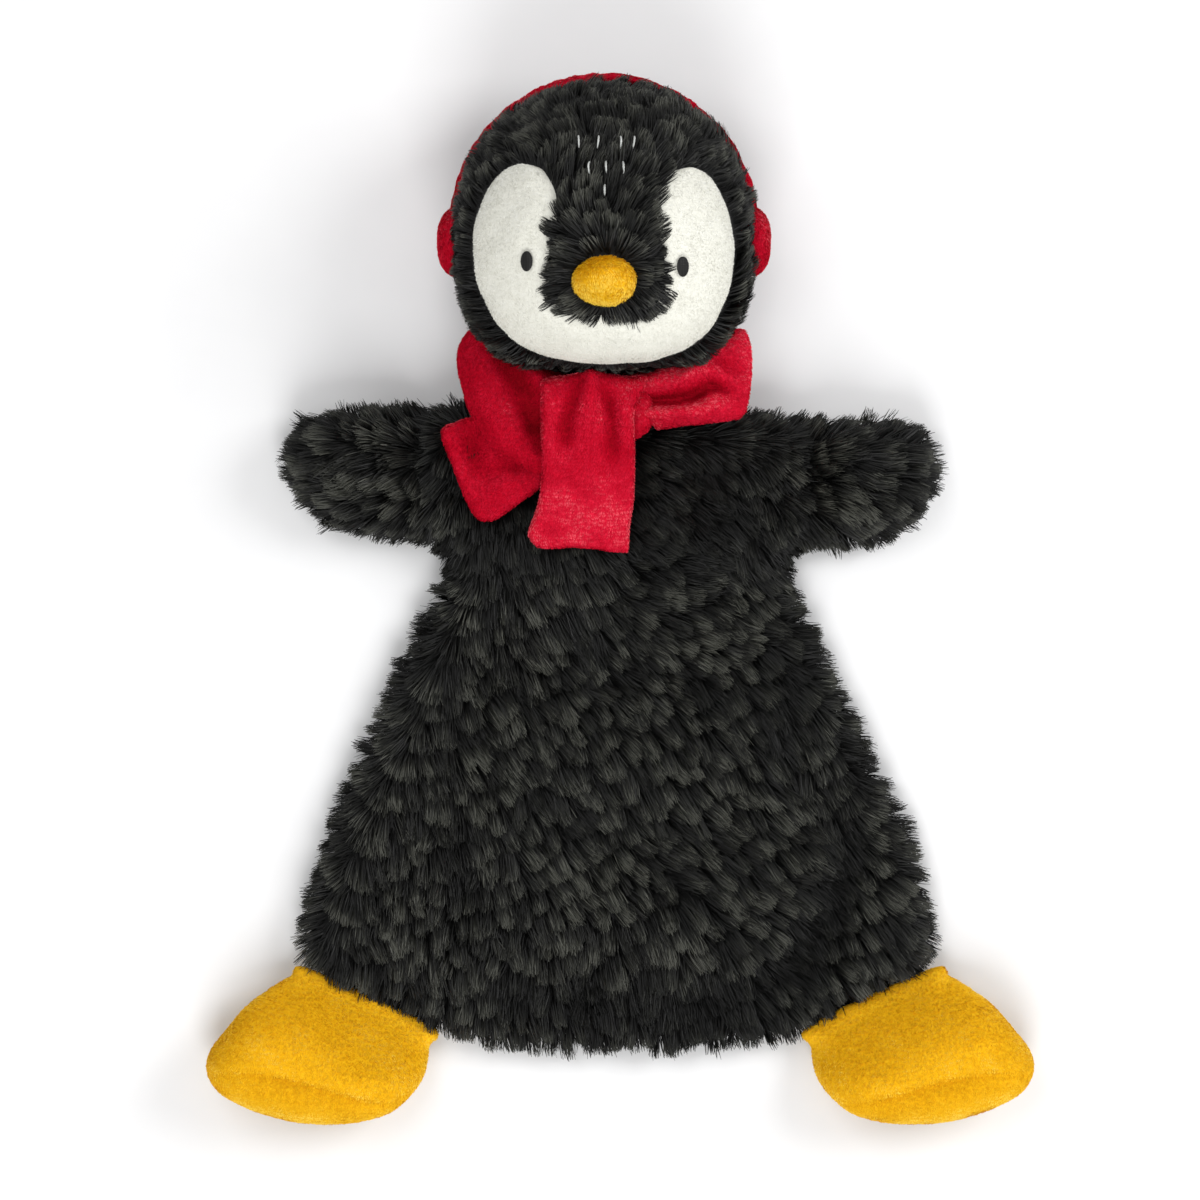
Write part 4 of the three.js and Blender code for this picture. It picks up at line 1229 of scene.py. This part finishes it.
def puff(piece, pressure, cap, frames=14):
    """Blows a closed cloth body up, as filling does. No point moves by more than the cap."""
    home = np.zeros(len(piece.data.vertices) * 3, np.float32)
    piece.data.vertices.foreach_get("co", home)
    cloth = piece.modifiers.new("cloth", "CLOTH")
    cloth.settings.quality = 4
    cloth.settings.mass = 0.2
    cloth.settings.tension_stiffness = 12
    cloth.settings.compression_stiffness = 12
    cloth.settings.bending_stiffness = 0.25
    cloth.settings.use_pressure = True
    cloth.settings.uniform_pressure_force = pressure
    cloth.settings.effector_weights.gravity = 0
    cloth.collision_settings.use_collision = False
    cloth.point_cache.frame_start = 1
    cloth.point_cache.frame_end = frames
    scene = bpy.context.scene
    for number in range(1, frames + 1):
        scene.frame_set(number)
    blown = piece.evaluated_get(bpy.context.evaluated_depsgraph_get())
    now = np.zeros_like(home)
    blown.data.vertices.foreach_get("co", now)
    moved = (now - home).reshape(-1, 3)
    far = np.linalg.norm(moved, axis=1, keepdims=True)
    moved *= np.minimum(1, cap * MM / np.maximum(far, 1e-9))
    piece.modifiers.remove(cloth)
    scene.frame_set(1)
    return (home.reshape(-1, 3) + moved) / MM


def foot_shape(shrink=0.0):
    """The stuffed foot as a closed body, on the right-hand side of the toy, or its filling, drawn
    in all round by shrink."""
    edge = spline(FOOT_EDGE, 240)
    if shrink:
        _, outward = Plan(edge, step=0.5, margin=6).at(edge * 0.999 + edge.mean(0) * 0.001)
        edge = edge - outward * shrink

    def from_hinge(p):
        return (p[:, :2] - HINGE_IN) @ TOWARDS_TOE

    def top(p):
        s = from_hinge(p)
        return 9.5 + 17.5 * smooth(-3, 24, s) ** 0.8 - shrink

    def seam(p):
        return 6.5 + 6.5 * smooth(2, 26, from_hinge(p))

    return cushion(edge, top, flat_height(0.6 + shrink), seam, 14.0, step=1.1)


def toe_seam_dent(points):
    """Presses the toe's seam into the foot, with puckers under it. Returns the moved points and
    each one's painted shading: painted shade in the seam's groove and beside it, and painted light,
    below zero, on the foot's low sides."""
    across = smooth(10, 14, points[:, 2])
    puckers = 0.22 * np.sin(points[:, 0] * 2.3 + 1.7 * np.sin(points[:, 0] * 0.4))
    groove = fold(points, TOE_SEAM, 1.3, 1.0)
    beside = fold(points, UNDER_SEAM, 3.2, 1.0)
    normal_up = np.array([0.0, -0.35, 0.94])
    points += ((-1.3 * groove + (0.6 + 1.6 * puckers) * beside) * across)[:, None] * normal_up
    points += 0.15 * ripple(points, 22, 141)[:, None]
    points[:, 2] = np.maximum(points[:, 2], 0.2)
    dark = np.clip(groove + 0.4 * beside * (1 + 2 * puckers), 0, 1) * across
    return points, dark - 0.6 * smooth(14, 7, points[:, 2])


def make_foot(side, sign):
    """A stuffed foot: a top panel and a sole panel that meet at the toe's seam, and its fibre."""
    mirror = np.array([sign, 1, 1])
    points, quads = foot_shape()
    body = build_mesh("foot_blank", points, quads, BACKING)
    points = puff(body, pressure=2.5, cap=1.0)
    bpy.data.objects.remove(body)
    points[:, 2] = np.maximum(points[:, 2], 0.25)
    points, dark = toe_seam_dent(points)
    shape = np.column_stack([points * mirror, dark])
    upper = shape[quads].mean(1)[:, 2] > SOLE_TOP_Z
    quads = quads[:, ::sign]

    # Painted shade: the pile is darker along the toe's seam and in the hollow beside it.
    def tone(p):
        return (1.08 - 0.3 * fold(p * mirror, UNDER_SEAM, 4.0, 1.0)
                - 0.35 * fold(p * mirror, TOE_SEAM, 0.8, 1.0))

    start, end = (mirror[:2] * ((HINGE_IN + HINGE_OUT) / 2 + TOWARDS_TOE * gap)
                  for gap in ANKLE_BEND)
    hang = bend("skirt", f"foot_{side}", start, end)
    for part, chosen in (("top", upper), ("sole", ~upper)):
        panel, faces = used_only(shape, quads[chosen])
        # Painted light where the cloth falls away along the brushing, and painted shade where it
        # rises, from a velvet below zero.
        plush(f"foot_{side}_{part}", panel[:, :3], faces, "yellow", hang, (0.15 * sign, -1, 0),
              143, nodes=(f"foot_{side}_{part}_panel",), fill=0.8, painted_shading=panel[:, 3], length=0.7,
              per_mm2=9, velvet=-0.1, tone=tone)
    inner, inner_quads = foot_shape(shrink=1.6)
    stuffing(f"foot_{side}", [f"foot_{side}_filling"], inner * mirror, inner_quads[:, ::sign],
             hang)


make_body()
make_fillings()
make_head_fur()
make_head_fibre()
make_face()
make_beak()
for side, sign in (("left", -1), ("right", 1)):
    make_eye(side, sign)
    make_earmuff(side, sign)
    make_foot(side, sign)
    make_lobe(side)
make_stitches()
make_band()
make_neck()
make_neck_loop()
make_knot()
make_front_tail()
make_side_tail()


# ------------------------------------------------------------------ floor, light and camera
def make_studio():
    """A pale floor, an even white sky and three soft boxes."""
    bpy.ops.mesh.primitive_plane_add(size=6, location=(0, 0, 0))
    floor = bpy.context.object
    floor.name = "pale_floor"
    material, tree, shader = new_material("pale_floor", (0.71, 0.71, 0.715), 0.9)
    paint(tree, shader, noise(tree, 60),
          [(0.2, (0.70, 0.70, 0.705)), (0.9, (0.72, 0.72, 0.725))])
    floor.data.materials.append(material)

    world = bpy.data.worlds.new("studio")
    bpy.context.scene.world = world
    world.use_nodes = True
    sky = world.node_tree.nodes["Background"]
    sky.inputs["Color"].default_value = (1, 1, 1, 1)
    sky.inputs["Strength"].default_value = 0.5

    # Places and sizes are in metres, and each light faces the frame's origin.
    for name, place, size, power in (("key_softbox", (0.95, 0.35, 0.8), 0.6, 9.9),
                                     ("low_softbox", (0.0, -0.95, 0.95), 0.7, 12),
                                     ("fill_softbox", (-0.55, 0.5, 1.2), 0.9, 6.8)):
        light = bpy.data.lights.new(name, "AREA")
        light.size = size
        light.energy = power
        lamp = bpy.data.objects.new(name, light)
        lamp.location = place
        toward = -np.array(place)
        lamp.rotation_euler = (math.acos(-toward[2] / np.linalg.norm(toward)), 0,
                               math.atan2(toward[1], toward[0]) - math.pi / 2)
        bpy.context.collection.objects.link(lamp)


def make_camera():
    """Straight down from high up, with a margin round the toy."""
    height, width = 1.4, 0.348          # in metres: of the camera, and of the floor that it sees
    camera = bpy.data.cameras.new("camera")
    camera.sensor_width = 36
    camera.lens = 36 * height / width
    eye = bpy.data.objects.new("camera", camera)
    eye.location = (-0.0058, 0.0003, height)    # the toy lies a little right of the view's middle
    eye.rotation_euler = (0, 0, 0)
    bpy.context.collection.objects.link(eye)
    bpy.context.scene.camera = eye


make_studio()
make_camera()
bpy.context.scene.view_settings.view_transform = "Standard"
